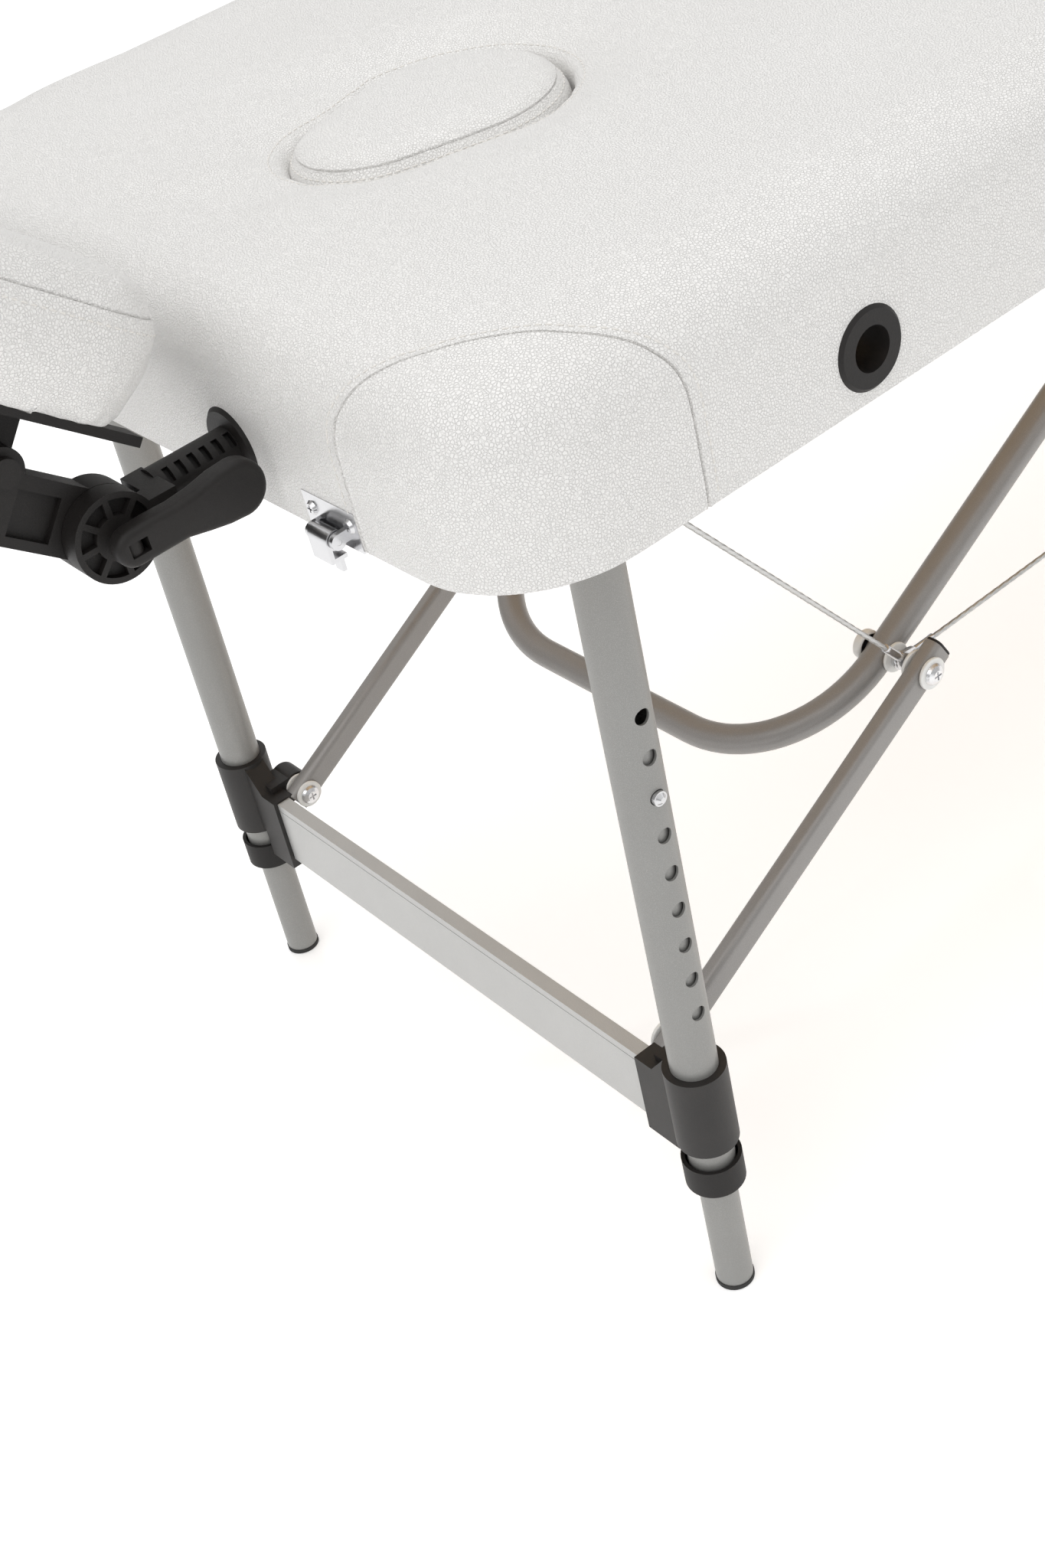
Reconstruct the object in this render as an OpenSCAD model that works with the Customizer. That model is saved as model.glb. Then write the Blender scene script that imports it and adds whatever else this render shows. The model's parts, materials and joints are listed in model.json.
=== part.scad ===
// Portable massage table: two folding bed sections on telescopic legs, braced by cables,
// with a tilting face cradle
// +Z is up, -X is the head end and the origin is the middle of the floor area that the table covers.

/* [Bed] */
// Length of the bed from end face to end face
bed_length = 1860; // [1800:10:1900]
// Width over the upholstery
bed_width = 612; // [600:2:640]
// Height of the bed's lower edge above the floor
bed_bottom_z = 556; // [554:1:558]
// Thickness of frame, deck, foam and cover together
bed_thickness = 95; // [90:1:100]
// Radius of the bed's corners in plan
corner_r = 68; // [60:2:80]
// Radius of the rounded upper edge
edge_r = 38; // [30:2:42]
// Length of the breath hole along the bed
breath_length = 168; // [150:2:180]
// Width of the breath hole
breath_width = 136; // [120:2:150]

/* [Legs] */
// Outer diameter of the upper leg tube
outer_tube_d = 28; // [27:0.5:29]
// Outer diameter of the lower leg tube
inner_tube_d = 23; // [22:0.5:23]
// Wall of both leg tubes
tube_wall = 1.5; // [1.2:0.1:1.8]
// Distance of each leg from the bed's centreline
leg_y = 238.5; // [234:0.5:240]
// Outward lean of the legs along the bed, in degrees
leg_lean = 1.83; // [1.5:0.01:2]
// Pitch of the height holes
hole_pitch = 25; // [24:0.5:26]
// Number of height holes
hole_count = 9; // [7:1:9]
// Height hole that holds the snap button, counted from the top
button_hole = 3; // [2:1:4]

/* [Braces] */
// Diameter of the bent brace loop's tube
loop_d = 19; // [18:0.5:20]
// Distance of each loop arm from the centreline
loop_y = 162.4; // [160:0.2:164]
// Distance of each brace strut from the centreline
strut_y = 195; // [194:0.5:196]
// Diameter of the wire cables
cable_d = 3; // [2.5:0.1:3.5]

/* [Face cradle] */
// Distance of each cradle post from the centreline
post_y = 97; // [94:0.5:100]
// Rest angle of the cradle above the horizontal
cradle_angle = 40; // [36:1:42]
// Width of the cradle cushion
cushion_width = 296; // [280:2:310]
// Length of the cradle cushion
cushion_length = 268; // [250:2:280]

/* [Hidden] */
$fn = 48;

// Ends and sides: a half is modelled at the head end, and a leg at the near side
HEAD = -1;
FOOT = 1;
NEAR = -1;
FAR = 1;

vinyl = [0.93, 0.92, 0.91];
leg_grey = [0.66, 0.67, 0.66];
brace_grey = [0.58, 0.57, 0.56];
black_plastic = [0.12, 0.11, 0.11];
bright_metal = [0.80, 0.80, 0.82];
birch = [0.82, 0.70, 0.52];
foam_cream = [0.93, 0.88, 0.70];

// Bed build-up
hinge_x = 126;
half_length = bed_length / 2;
half_width = bed_width / 2;
hinge_gap = 0.5;
cover_t = 2;
rail_t = 20;
rail_h = 44;
deck_t = 4;
frame_inset = cover_t;
rail_top_z = bed_bottom_z + rail_h;
deck_top_z = rail_top_z + deck_t;
bed_top_z = bed_bottom_z + bed_thickness;
board_t = 6.5;
breath_x = -720;
breath_ledge = 9;
plug_gap = 1.5;
plug_base_t = 6;
eps = 0.01;

// Openings for posts
grommet_z = 582;
grommet_bore_r = 11;
grommet_barrel_r = 14;
grommet_flange_r = 20.5;
grommet_flange_t = 3;
grommet_length = 30;
side_grommet_inset = 214;

// Legs, along each leg from the floor
foot_x = -856;
top_hole_s = 429.6;
outer_tube_bottom_s = 96;
outer_tube_top_s = 586;
inner_tube_top_s = 417;
inner_tube_bottom_s = 3;
button_s = top_hole_s - hole_pitch * (button_hole - 1);
hole_r = 4.6;
snap_r = 4.2;
running_gap = 0.05;
collar_bottom_s = 90;
collar_top_s = 110;
collar_r = 18;
collar_lip_s = 95;
sleeve_bottom_s = 124;
sleeve_top_s = 182;
sleeve_r = 18.5;
crossbar_bottom_s = 111.5;
crossbar_h = 50;
crossbar_t = 9.8;
crossbar_wall = 1.6;
crossbar_end_y = 214;
socket_end_y = 192;

// Pivots of the folding brace, in the head half's own X and Z
leg_pivot = [-818, 578];
strut_pivot = [-832, 157.5];
knee = [-599, 282];
loop_pivot = [-115.8, 540];
pin_r = 4;
strut_w = 19;
strut_tail = 16;
strut_t = 12;
strut_wall = 1.5;
loop_wall = 1.2;
loop_bend_r = 91;
loop_reach = 96;
loop_angle = atan2(loop_pivot[1] - knee[1], loop_pivot[0] - knee[0]);
strut_angle = atan2(knee[1] - strut_pivot[1], knee[0] - strut_pivot[0]);
strut_length = norm(knee - strut_pivot);
loop_length = norm(loop_pivot - knee);
cable_anchor = [-817, 555];
outer_cable_y = 184;
centre_cable_y = 178;
eye_t = 3;
washer_r = 8;
washer_t = 2;
spacer_r = 5.4;
bolt_head_r = 7;
bolt_head_h = 4;

// Face cradle, from the hub's axis; s runs up along the arm and n away from its back
hub_x = -1010;
hub_z = grommet_z;
hub_r = 22;
hub_bolt_r = 4;
post_r = grommet_bore_r - running_gap;
post_inner_x = -832;
post_slots = 7;
post_slot_pitch = 7;
post_slot_r = 1.7;
post_slot_reach = 4;
post_slot_depth = 4;
arm_w = 34;
arm_inner_y = 90;
arm_outer_y = 106.5;
post_hub_inner_y = 107;
post_hub_outer_y = 119.5;
tilt_pivot = [58, 16];
platform_n = 41;
platform_t = 5;
platform_length = 236;
platform_half_width = 112;
cushion_n = platform_n + platform_t;
cushion_t = 62;
cushion_start_s = 2;
lever_y = 131;
lever_t = 12;
lever_reach = 58;

// Latches at the end faces
latch_y = 174;
latch_plate_w = 42;
latch_plate_h = 21;
latch_plate_t = 1.6;
latch_z = 557;

// ---------- placing ----------

// Places a piece modelled at the head end on the wanted half
module on_half(end) {
    translate([hinge_x, 0, 0])
        if (end == FOOT) mirror([1, 0, 0]) children();
        else children();
}

// Places a piece modelled at the near side on the wanted side
module on_side(side) {
    if (side == FAR) mirror([0, 1, 0]) children();
    else children();
}

// Makes a piece modelled at the near side on both sides
module on_both_sides() {
    for (side = [NEAR, FAR]) on_side(side) children();
}

// Stands a piece modelled along +Z in the place of the near leg
module on_leg() {
    translate([foot_x, -leg_y, 0]) rotate([0, leg_lean, 0]) children();
}

// Turns a cylinder's axis from Z to Y, starting at y and growing towards -Y
module along_minus_y(y) {
    translate([0, y, 0]) rotate([90, 0, 0]) children();
}

// Places a piece in the cradle's frame: X is s, Z is n, Y is the bed's Y
module on_cradle() {
    translate([hub_x, 0, hub_z]) rotate([0, cradle_angle, 0]) mirror([1, 0, 0]) children();
}

// ---------- bed ----------

// Outline of one half in plan, shrunk by inset at the end and the sides
module half_outline(inset) {
    r = corner_r - inset;
    left = -half_length + inset;
    wide = half_width - inset;
    translate([left + r, -wide]) square([-hinge_gap - cover_t - left - r, 2 * wide]);
    translate([left, -wide + r]) square([r + eps, 2 * (wide - r)]);
    for (y = [-1, 1]) translate([left + r, y * (wide - r)]) circle(r);
}

// Section of the bed's edge, outwards from the corner axis, shrunk by inset at its rounded outer side
module edge_section(inset, bottom_z) {
    r = edge_r - inset;
    outer = corner_r - inset;
    top_z = bed_top_z - inset;
    translate([outer - r, top_z - r]) intersection() {
        circle(r);
        square([r, r]);
    }
    translate([0, bottom_z]) square([outer, top_z - r - bottom_z]);
    translate([0, top_z - r - eps]) square([outer - r, r + eps]);
}

// Sweeps an edge section along both sides, both corners and the end, up to the plane X = right
module sweep_edge(right) {
    axis_x = -half_length + corner_r;
    axis_y = half_width - corner_r;
    on_both_sides() translate([axis_x, -axis_y, 0]) mirror([0, 1, 0]) {
        rotate([90, 0, 90]) linear_extrude(right - axis_x) children();
        rotate([0, 0, 90]) rotate_extrude(angle = 90) children();
    }
    translate([axis_x, axis_y, 0]) mirror([1, 0, 0]) rotate([90, 0, 0]) linear_extrude(2 * axis_y) children();
}

// Block between the corner axes, from one height to another
module core_block(bottom_z, top_z, right) {
    axis_y = half_width - corner_r;
    translate([-half_length + corner_r, -axis_y, bottom_z])
        cube([right + half_length - corner_r, 2 * axis_y, top_z - bottom_z]);
}

// Solid half with a rounded upper edge, shrunk by inset all round
module rounded_half(inset, bottom_z) {
    right = -hinge_gap - inset;
    sweep_edge(right) edge_section(inset, bottom_z);
    core_block(bottom_z, bed_top_z - inset, right);
}

// Egg-shaped outline of the breath hole, shrunk by inset
module breath_outline(inset) {
    big_r = breath_width / 2;
    small_r = big_r * 0.78;
    hull() {
        translate([breath_length / 2 - big_r, 0]) circle(big_r - inset);
        translate([-breath_length / 2 + small_r, 0]) circle(small_r - inset);
    }
}

// Cuts a breath hole of the given inset through the head half
module breath_cut(inset) {
    translate([breath_x, 0, rail_top_z - 1]) linear_extrude(bed_thickness) breath_outline(inset);
}

// Cuts the holes that the grommet barrels fill, with a radius r
module grommet_cuts(end, r) {
    for (y = [-1, 1])
        translate([-half_length - 1, y * post_y, grommet_z]) rotate([0, 90, 0])
            cylinder(r = r, h = grommet_length + 3);
    if (end == HEAD)
        for (x = side_grommet_x(), side = [NEAR, FAR])
            on_side(side) translate([x, 0, grommet_z]) along_minus_y(-half_width + grommet_length + 2)
                cylinder(r = r, h = grommet_length + 3);
}

// Places of the armrest grommets along a long side
function side_grommet_x() =
    [-half_length + side_grommet_inset, -half_length + side_grommet_inset + 2 * post_y];

module deck(end) {
    color(birch) on_half(end) translate([0, 0, rail_top_z]) linear_extrude(deck_t) difference() {
        half_outline(frame_inset);
        if (end == HEAD) translate([breath_x, 0]) breath_outline(breath_ledge);
    }
}

module frame(end) {
    color(birch) on_half(end) difference() {
        union() {
            translate([0, 0, bed_bottom_z]) linear_extrude(rail_h) difference() {
                half_outline(frame_inset);
                intersection() {
                    half_outline(frame_inset + rail_t);
                    translate([-half_length, -half_width]) square([half_length - rail_t, bed_width]);
                }
            }
            // Rail that carries the brace loop's brackets, short enough for the legs to fold past it
            translate([loop_pivot[0] - rail_t / 2, -loop_y - 22, bed_bottom_z])
                cube([rail_t, 2 * (loop_y + 22), rail_h]);
            // Board that the leg brackets are screwed to
            translate([leg_pivot[0] - 30, -half_width + frame_inset + rail_t - eps, rail_top_z - board_t])
                cube([60, bed_width - 2 * (frame_inset + rail_t) + 2 * eps, board_t]);
        }
        if (end == HEAD) grommet_cuts(end, grommet_barrel_r);
    }
}

module foam(end) {
    color(foam_cream) on_half(end) difference() {
        rounded_half(cover_t, deck_top_z);
        if (end == HEAD) breath_cut(-cover_t);
    }
}

module cover(end) {
    right = -hinge_gap - cover_t;
    color(vinyl) on_half(end) difference() {
        union() {
            sweep_edge(right) difference() {
                edge_section(0, bed_bottom_z);
                edge_section(cover_t, bed_bottom_z - 1);
            }
            core_block(bed_top_z - cover_t, bed_top_z, right);
            // Vinyl over the hinge-side face
            translate([right, 0, 0]) rotate([90, 0, 90]) linear_extrude(cover_t) face_section();
        }
        if (end == HEAD) grommet_cuts(end, grommet_barrel_r);
        if (end == HEAD) breath_cut(0);
    }
    if (end == HEAD) color(vinyl) on_half(end) breath_sleeve();
}

// Whole cross-section of the bed, with Y across and Z up
module face_section() {
    axis_y = half_width - corner_r;
    for (side = [-1, 1]) mirror([side < 0 ? 1 : 0, 0]) translate([axis_y, 0]) edge_section(0, bed_bottom_z);
    translate([-axis_y - eps, bed_bottom_z]) square([2 * (axis_y + eps), bed_thickness]);
}

// Vinyl that lines the breath hole down to the deck
module breath_sleeve() {
    translate([breath_x, 0, deck_top_z]) linear_extrude(bed_top_z - deck_top_z) difference() {
        breath_outline(-cover_t);
        breath_outline(0);
    }
}

// Flanged plastic grommet along +X from its flange's back at the origin
module grommet() {
    rotate([0, 90, 0]) difference() {
        union() {
            cylinder(r = grommet_barrel_r, h = grommet_length);
            rotate_extrude() polygon([
                [0, 0], [0, -grommet_flange_t], [grommet_flange_r - 2, -grommet_flange_t],
                [grommet_flange_r, -1], [grommet_flange_r, 0]
            ]);
        }
        translate([0, 0, -grommet_flange_t - 1])
            cylinder(r = grommet_bore_r, h = grommet_length + grommet_flange_t + 2);
    }
}

module end_grommets() {
    color(black_plastic) on_half(HEAD) on_both_sides()
        translate([-half_length, -post_y, grommet_z]) grommet();
}

module side_grommets() {
    color(black_plastic) on_half(HEAD) on_both_sides() for (x = side_grommet_x())
        translate([x, -half_width, grommet_z]) rotate([0, 0, 90]) grommet();
}

module breath_plug_cushion() {
    crown_z = bed_top_z - 4;
    color(vinyl) on_half(HEAD) translate([breath_x, 0, deck_top_z + plug_base_t]) {
        linear_extrude(crown_z - deck_top_z - plug_base_t - 8) breath_outline(plug_gap);
        linear_extrude(crown_z - deck_top_z - plug_base_t) breath_outline(plug_gap + 7);
    }
}

module breath_plug_base() {
    color(birch) on_half(HEAD) translate([breath_x, 0, deck_top_z + 0.2])
        linear_extrude(plug_base_t - 0.2) breath_outline(plug_gap);
}

// Clevis with its pin on which a leg folds, and the tab that holds the outer cable
module leg_bracket() {
    ear_gap = outer_tube_d + 2;
    ear_t = 3;
    plate_t = 3.6;
    plate_z = rail_top_z - board_t - plate_t;
    pin_length = ear_gap + 2 * ear_t;
    translate([leg_pivot[0] - 22, -leg_y - 22, plate_z]) cube([44, leg_y - outer_cable_y + 32, plate_t]);
    for (y = [-leg_y + ear_gap / 2, -leg_y - ear_gap / 2 - ear_t])
        difference() {
            union() {
                translate([leg_pivot[0] - 11, y, leg_pivot[1]])
                    cube([22, ear_t, plate_z - leg_pivot[1] + eps]);
                translate([leg_pivot[0], y, leg_pivot[1]]) rotate([-90, 0, 0]) cylinder(r = 11, h = ear_t);
            }
            translate([leg_pivot[0], y - 1, leg_pivot[1]]) rotate([-90, 0, 0])
                cylinder(r = pin_r + running_gap, h = ear_t + 2);
        }
    translate([leg_pivot[0], 0, leg_pivot[1]]) {
        along_minus_y(-leg_y + pin_length / 2 + 2) cylinder(r = pin_r, h = pin_length + 4);
        along_minus_y(-leg_y + pin_length / 2 + 2) cylinder(r = pin_r + 3, h = 2);
    }
    // Tab and rivet for the cable's eye
    translate([cable_anchor[0] - 7, -outer_cable_y + 3.2, cable_anchor[1] - 6])
        cube([14, 3, plate_z - cable_anchor[1] + 6 + eps]);
    translate([cable_anchor[0], 0, cable_anchor[1]]) along_minus_y(-outer_cable_y + 3.3) {
        cylinder(r = 2.4, h = 7);
        translate([0, 0, 5]) cylinder(r = 5, h = 1.4);
    }
}

module leg_brackets(end) {
    color(bright_metal) on_half(end) on_both_sides() leg_bracket();
}

// Clevis with its pin on which one arm of the brace loop turns
module loop_bracket() {
    ear_gap = loop_d + 1;
    ear_t = 2.5;
    for (y = [-loop_y + ear_gap / 2, -loop_y - ear_gap / 2 - ear_t])
        difference() {
            union() {
                translate([loop_pivot[0] - 12, y, loop_pivot[1]])
                    cube([24, ear_t, bed_bottom_z - loop_pivot[1]]);
                translate([loop_pivot[0], y, loop_pivot[1]]) rotate([-90, 0, 0]) cylinder(r = 12, h = ear_t);
            }
            translate([loop_pivot[0], y - 1, loop_pivot[1]]) rotate([-90, 0, 0])
                cylinder(r = pin_r + running_gap, h = ear_t + 2);
        }
    translate([loop_pivot[0] - 12, -loop_y - ear_gap / 2 - ear_t, bed_bottom_z - 2.5])
        cube([24, ear_gap + 2 * ear_t, 2.4]);
    translate([loop_pivot[0], -loop_y + ear_gap / 2 + ear_t + 2, loop_pivot[1]]) rotate([90, 0, 0]) {
        cylinder(r = pin_r, h = ear_gap + 2 * ear_t + 4);
        cylinder(r = pin_r + 3, h = 2);
    }
}

module loop_brackets(end) {
    color(bright_metal) on_half(end) on_both_sides() loop_bracket();
}

// Centre hinges: knuckle_r round the hinge line just below the bed's lower edge
knuckle_r = 5;
hinge_width = 70;
hinge_y = [-230, 0, 230];
knuckle_count = 5;

// Knuckles of one leaf: every second one of the hinge's knuckles
module hinge_leaves(end) {
    knuckle_w = hinge_width / knuckle_count;
    first = end == HEAD ? 0 : 1;
    color(bright_metal) on_half(end) for (y = hinge_y) {
        translate([-34, y - hinge_width / 2, bed_bottom_z - 2]) cube([34 - knuckle_r - 1, hinge_width, 2]);
        for (i = [first : 2 : knuckle_count - 1])
            translate([0, y - hinge_width / 2 + i * knuckle_w + 0.2, bed_bottom_z - knuckle_r - 0.3]) difference() {
                union() {
                    rotate([-90, 0, 0]) cylinder(r = knuckle_r, h = knuckle_w - 0.4);
                    translate([-knuckle_r - 1.5, 0, knuckle_r - 1.7])
                        cube([knuckle_r + 1.5, knuckle_w - 0.4, 2]);
                }
                translate([0, -1, 0]) rotate([-90, 0, 0]) cylinder(r = 2.5 + running_gap, h = knuckle_w + 2);
                translate([0, -1, 0]) cube([2 * knuckle_r, knuckle_w + 2, 2 * knuckle_r]);
            }
        if (end == HEAD) translate([0, y - hinge_width / 2 - 1, bed_bottom_z - knuckle_r - 0.3])
            rotate([-90, 0, 0])
            cylinder(r = 2.5, h = hinge_width + 2);
    }
}

// Webbing carry handle on the far side: two sewn-down ends and a slack loop that a hand fits behind
module handle(end) {
    strap_w = 30;
    strap_t = 3;
    span = 190;
    pad_w = 40;
    riser_w = 18;
    hand_gap = 13;
    middle_x = -190;
    color(black_plastic) on_half(end) translate([middle_x, half_width, bed_bottom_z + 20]) {
        for (side = [-1, 1]) mirror([side > 0 ? 1 : 0, 0, 0]) {
            translate([-span / 2 - pad_w / 2, 0, -4]) cube([pad_w, strap_t, strap_w + 8]);
            translate([-span / 2, strap_t - eps, 0]) cube([riser_w, hand_gap - strap_t + 2 * eps, strap_w]);
        }
        translate([-span / 2, hand_gap, 0]) cube([span, strap_t, strap_w]);
    }
}

// ---------- latches ----------

module latch_plates() {
    color(bright_metal) on_half(HEAD) on_both_sides() translate([-half_length, -latch_y, latch_z]) {
        difference() {
            translate([-latch_plate_t, -latch_plate_w / 2, -2])
                cube([latch_plate_t, latch_plate_w, latch_plate_h]);
            for (y = [-1, 1]) translate([-latch_plate_t - 1, y * 15, 11]) rotate([0, 90, 0])
                cylinder(r = 2, h = 4);
        }
        // Rolled ears that hold the hook's pin
        for (y = [-11, 8]) translate([-7, y, 4]) difference() {
            union() {
                rotate([-90, 0, 0]) cylinder(r = 4, h = 3);
                translate([0, 0, -2]) cube([7 - latch_plate_t + eps, 3, 6]);
            }
            translate([0, -1, 0]) rotate([-90, 0, 0]) cylinder(r = 1.5 + running_gap, h = 5);
        }
    }
}

// Rolled hook with its pin and a tab hanging below the end of the bed
module latch_hook(side) {
    color(bright_metal) on_half(HEAD) on_side(side) translate([-half_length - 7, -latch_y, latch_z + 4]) {
        rotate([-90, 0, 0]) translate([0, 0, -10.9]) cylinder(r = 1.5, h = 21.8);
        difference() {
            union() {
                translate([0, -7.6, 0]) rotate([-90, 0, 0]) cylinder(r = 5, h = 15.2);
                translate([-5, -7.6, -9]) cube([2.2, 15.2, 9]);
                translate([-5, -7.6, -11]) cube([9, 15.2, 2.2]);
                translate([1.8, -3, -20]) cube([2.2, 6, 11]);
            }
            translate([0, -9, 0]) rotate([-90, 0, 0]) cylinder(r = 1.5 + eps, h = 18);
        }
    }
}

module latch_screws() {
    color(bright_metal) on_half(HEAD) on_both_sides() for (y = [-1, 1])
        translate([-half_length, -latch_y + y * 15, latch_z + 11]) rotate([0, -90, 0]) difference() {
            union() {
                translate([0, 0, -16]) cylinder(r = 1.95, h = 18);
                translate([0, 0, latch_plate_t]) cylinder(r1 = 3.8, r2 = 2.8, h = 1.6);
            }
            for (a = [0, 90]) rotate([0, 0, a]) translate([-2, -0.4, latch_plate_t + 0.7]) cube([4, 0.8, 2]);
        }
}

module latch_strikers() {
    color(bright_metal) on_half(FOOT) on_both_sides() translate([-half_length, -latch_y, latch_z]) {
        translate([-latch_plate_t, -latch_plate_w / 2, -2])
            cube([latch_plate_t, latch_plate_w, latch_plate_h]);
        translate([-6, -9, 3]) cube([6 - latch_plate_t + eps, 18, 2]);
        translate([-6, -9, -1]) cube([2, 18, 4 + eps]);
    }
}

// ---------- legs ----------

// Upper leg tube with its row of height holes and the lug that it folds on
module outer_tube() {
    boss_w = outer_tube_d + 1.4;
    on_leg() difference() {
        translate([0, 0, outer_tube_bottom_s])
            cylinder(d = outer_tube_d, h = outer_tube_top_s - outer_tube_bottom_s);
        translate([0, 0, outer_tube_bottom_s - 1])
            cylinder(d = outer_tube_d - 2 * tube_wall, h = outer_tube_top_s - outer_tube_bottom_s - 2);
        for (i = [0 : hole_count - 1])
            translate([0, 0, top_hole_s - i * hole_pitch]) along_minus_y(-outer_tube_d / 2 + 4)
                cylinder(r = hole_r, h = 6);
    }
    // Boss welded to the tube's inboard side, which turns on the bracket's pin
    difference() {
        union() {
            translate([leg_pivot[0], 0, leg_pivot[1]]) along_minus_y(-leg_y + boss_w / 2)
                cylinder(r = 9, h = boss_w);
            translate([leg_pivot[0] - 14, -leg_y - boss_w / 2, leg_pivot[1] - 9]) cube([14, boss_w, 15]);
        }
        translate([leg_pivot[0], 0, leg_pivot[1]]) along_minus_y(-leg_y + boss_w)
            cylinder(r = pin_r + running_gap, h = 2 * boss_w);
        on_leg() translate([0, 0, outer_tube_bottom_s])
            cylinder(r = outer_tube_d / 2 - tube_wall / 2, h = outer_tube_top_s);
    }
}

module outer_tubes(end) {
    color(leg_grey) on_half(end) on_both_sides() outer_tube();
}

module crossbar(end) {
    color(leg_grey) on_half(end) translate([foot_x, 0, 0]) rotate([0, leg_lean, 0])
        translate([-crossbar_t / 2, -crossbar_end_y, crossbar_bottom_s]) difference() {
            cube([crossbar_t, 2 * crossbar_end_y, crossbar_h]);
            translate([crossbar_wall, -1, crossbar_wall])
                cube([crossbar_t - 2 * crossbar_wall, 2 * crossbar_end_y + 2, crossbar_h - 2 * crossbar_wall]);
            // Drawn line along the outer face
            translate([-1, -1, crossbar_h - 6]) cube([1.3, 2 * crossbar_end_y + 2, 0.8]);
        }
}

// Sleeve round the leg, socket for the crossbar and lug for the strut, in one moulding
module crossbar_bracket() {
    socket_wall = 3;
    half_t = crossbar_t / 2 + socket_wall;
    lug_top_y = 203;
    lug_bottom_y = 222;
    lug_r = 11;
    lug_half_h = 10;
    difference() {
        union() {
            on_leg() translate([0, 0, sleeve_bottom_s])
                cylinder(r = sleeve_r, h = sleeve_top_s - sleeve_bottom_s);
            on_leg() translate([-half_t, 0, 0]) rotate([90, 0, 90]) linear_extrude(2 * half_t) polygon([
                [leg_y - socket_end_y, crossbar_bottom_s - 7],
                [leg_y - socket_end_y, crossbar_bottom_s + crossbar_h + 1.5],
                [leg_y - lug_top_y - 4, crossbar_bottom_s + crossbar_h + 1.5],
                [leg_y - lug_bottom_y, sleeve_top_s - 1], [0, sleeve_top_s - 1],
                [0, sleeve_bottom_s + 3], [collar_r + 2, sleeve_bottom_s + 3],
                [collar_r + 2, crossbar_bottom_s - 7]
            ]);
            translate([strut_pivot[0], -lug_top_y, strut_pivot[1]]) rotate([90, 0, 0])
                cylinder(r = lug_r, h = lug_bottom_y - lug_top_y);
            translate([strut_pivot[0] - 20, -lug_bottom_y, strut_pivot[1] - lug_half_h])
                cube([20, lug_bottom_y - lug_top_y, 2 * lug_half_h]);
        }
        on_leg() translate([0, 0, sleeve_bottom_s - 1])
            cylinder(d = outer_tube_d, h = sleeve_top_s - sleeve_bottom_s + 2);
        translate([foot_x, 0, 0]) rotate([0, leg_lean, 0])
            translate([-crossbar_t / 2, -crossbar_end_y, crossbar_bottom_s])
            cube([crossbar_t, crossbar_end_y, crossbar_h]);
    }
    strut_bolt();
}

// Cross-recessed bolt with its nylon washers, on which a strut turns
module strut_bolt() {
    inner_y = strut_y - strut_t / 2;
    outer_y = strut_y + strut_t / 2;
    translate([strut_pivot[0], 0, strut_pivot[1]]) {
        along_minus_y(-inner_y + washer_t) cylinder(r = pin_r, h = washer_t + strut_t + 16);
        along_minus_y(-inner_y + washer_t) cylinder(r = washer_r, h = washer_t - 0.1);
        along_minus_y(-inner_y + washer_t + bolt_head_h - eps) cross_head();
        along_minus_y(-outer_y - 0.1) cylinder(r = washer_r, h = washer_t + eps);
    }
}

// Domed bolt head with a cross recess, its face at the origin and its shank towards +Z
module cross_head() {
    difference() {
        translate([0, 0, bolt_head_h]) rotate_extrude() polygon([
            [0, 0], [0, -bolt_head_h], [3.5, -bolt_head_h], [6, -2.6], [bolt_head_r, -0.8], [bolt_head_r, 0]
        ]);
        for (a = [0, 90]) rotate([0, 0, a]) translate([-3, -0.6, -1]) cube([6, 1.2, 2.6]);
    }
}

module crossbar_brackets(end) {
    color(black_plastic) on_half(end) on_both_sides() crossbar_bracket();
}

// Loose black cup on the lower end of the outer tube, which guides the inner tube
module tube_collar() {
    on_leg() difference() {
        translate([0, 0, collar_bottom_s]) cylinder(r = collar_r, h = collar_top_s - collar_bottom_s);
        translate([0, 0, collar_lip_s]) cylinder(r = collar_r - 2.4, h = collar_top_s);
        translate([0, 0, collar_bottom_s - 1]) cylinder(r = inner_tube_d / 2 + running_gap, h = 20);
    }
    // Grip ring between the cup and the outer tube
    on_leg() translate([0, 0, collar_lip_s]) difference() {
        cylinder(r = collar_r - 2.4, h = 6);
        translate([0, 0, 1]) cylinder(d = outer_tube_d, h = 6);
        translate([0, 0, -1]) cylinder(r = inner_tube_d / 2 + running_gap, h = 8);
    }
}

module tube_collars(end) {
    color(black_plastic) on_half(end) on_both_sides() tube_collar();
}

module inner_leg(end, side) {
    color(leg_grey) on_half(end) on_side(side) on_leg() difference() {
        translate([0, 0, inner_tube_bottom_s])
            cylinder(d = inner_tube_d, h = inner_tube_top_s - inner_tube_bottom_s);
        translate([0, 0, inner_tube_bottom_s - 1])
            cylinder(d = inner_tube_d - 2 * tube_wall, h = inner_tube_top_s - inner_tube_bottom_s + 2);
        translate([0, 0, button_s]) along_minus_y(-inner_tube_d / 2 + 4)
            cylinder(r = snap_r + running_gap, h = 6);
    }
}

// Rubber cap cut level with the floor
module foot_cap(end, side) {
    color(black_plastic) on_half(end) on_side(side) difference() {
        on_leg() union() {
            translate([0, 0, -1]) cylinder(d = inner_tube_d + 1, h = inner_tube_bottom_s + 1);
            cylinder(d = inner_tube_d - 2 * tube_wall, h = 22);
        }
        translate([foot_x - 40, -leg_y - 40, -20]) cube([80, 80, 20]);
    }
}

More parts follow.
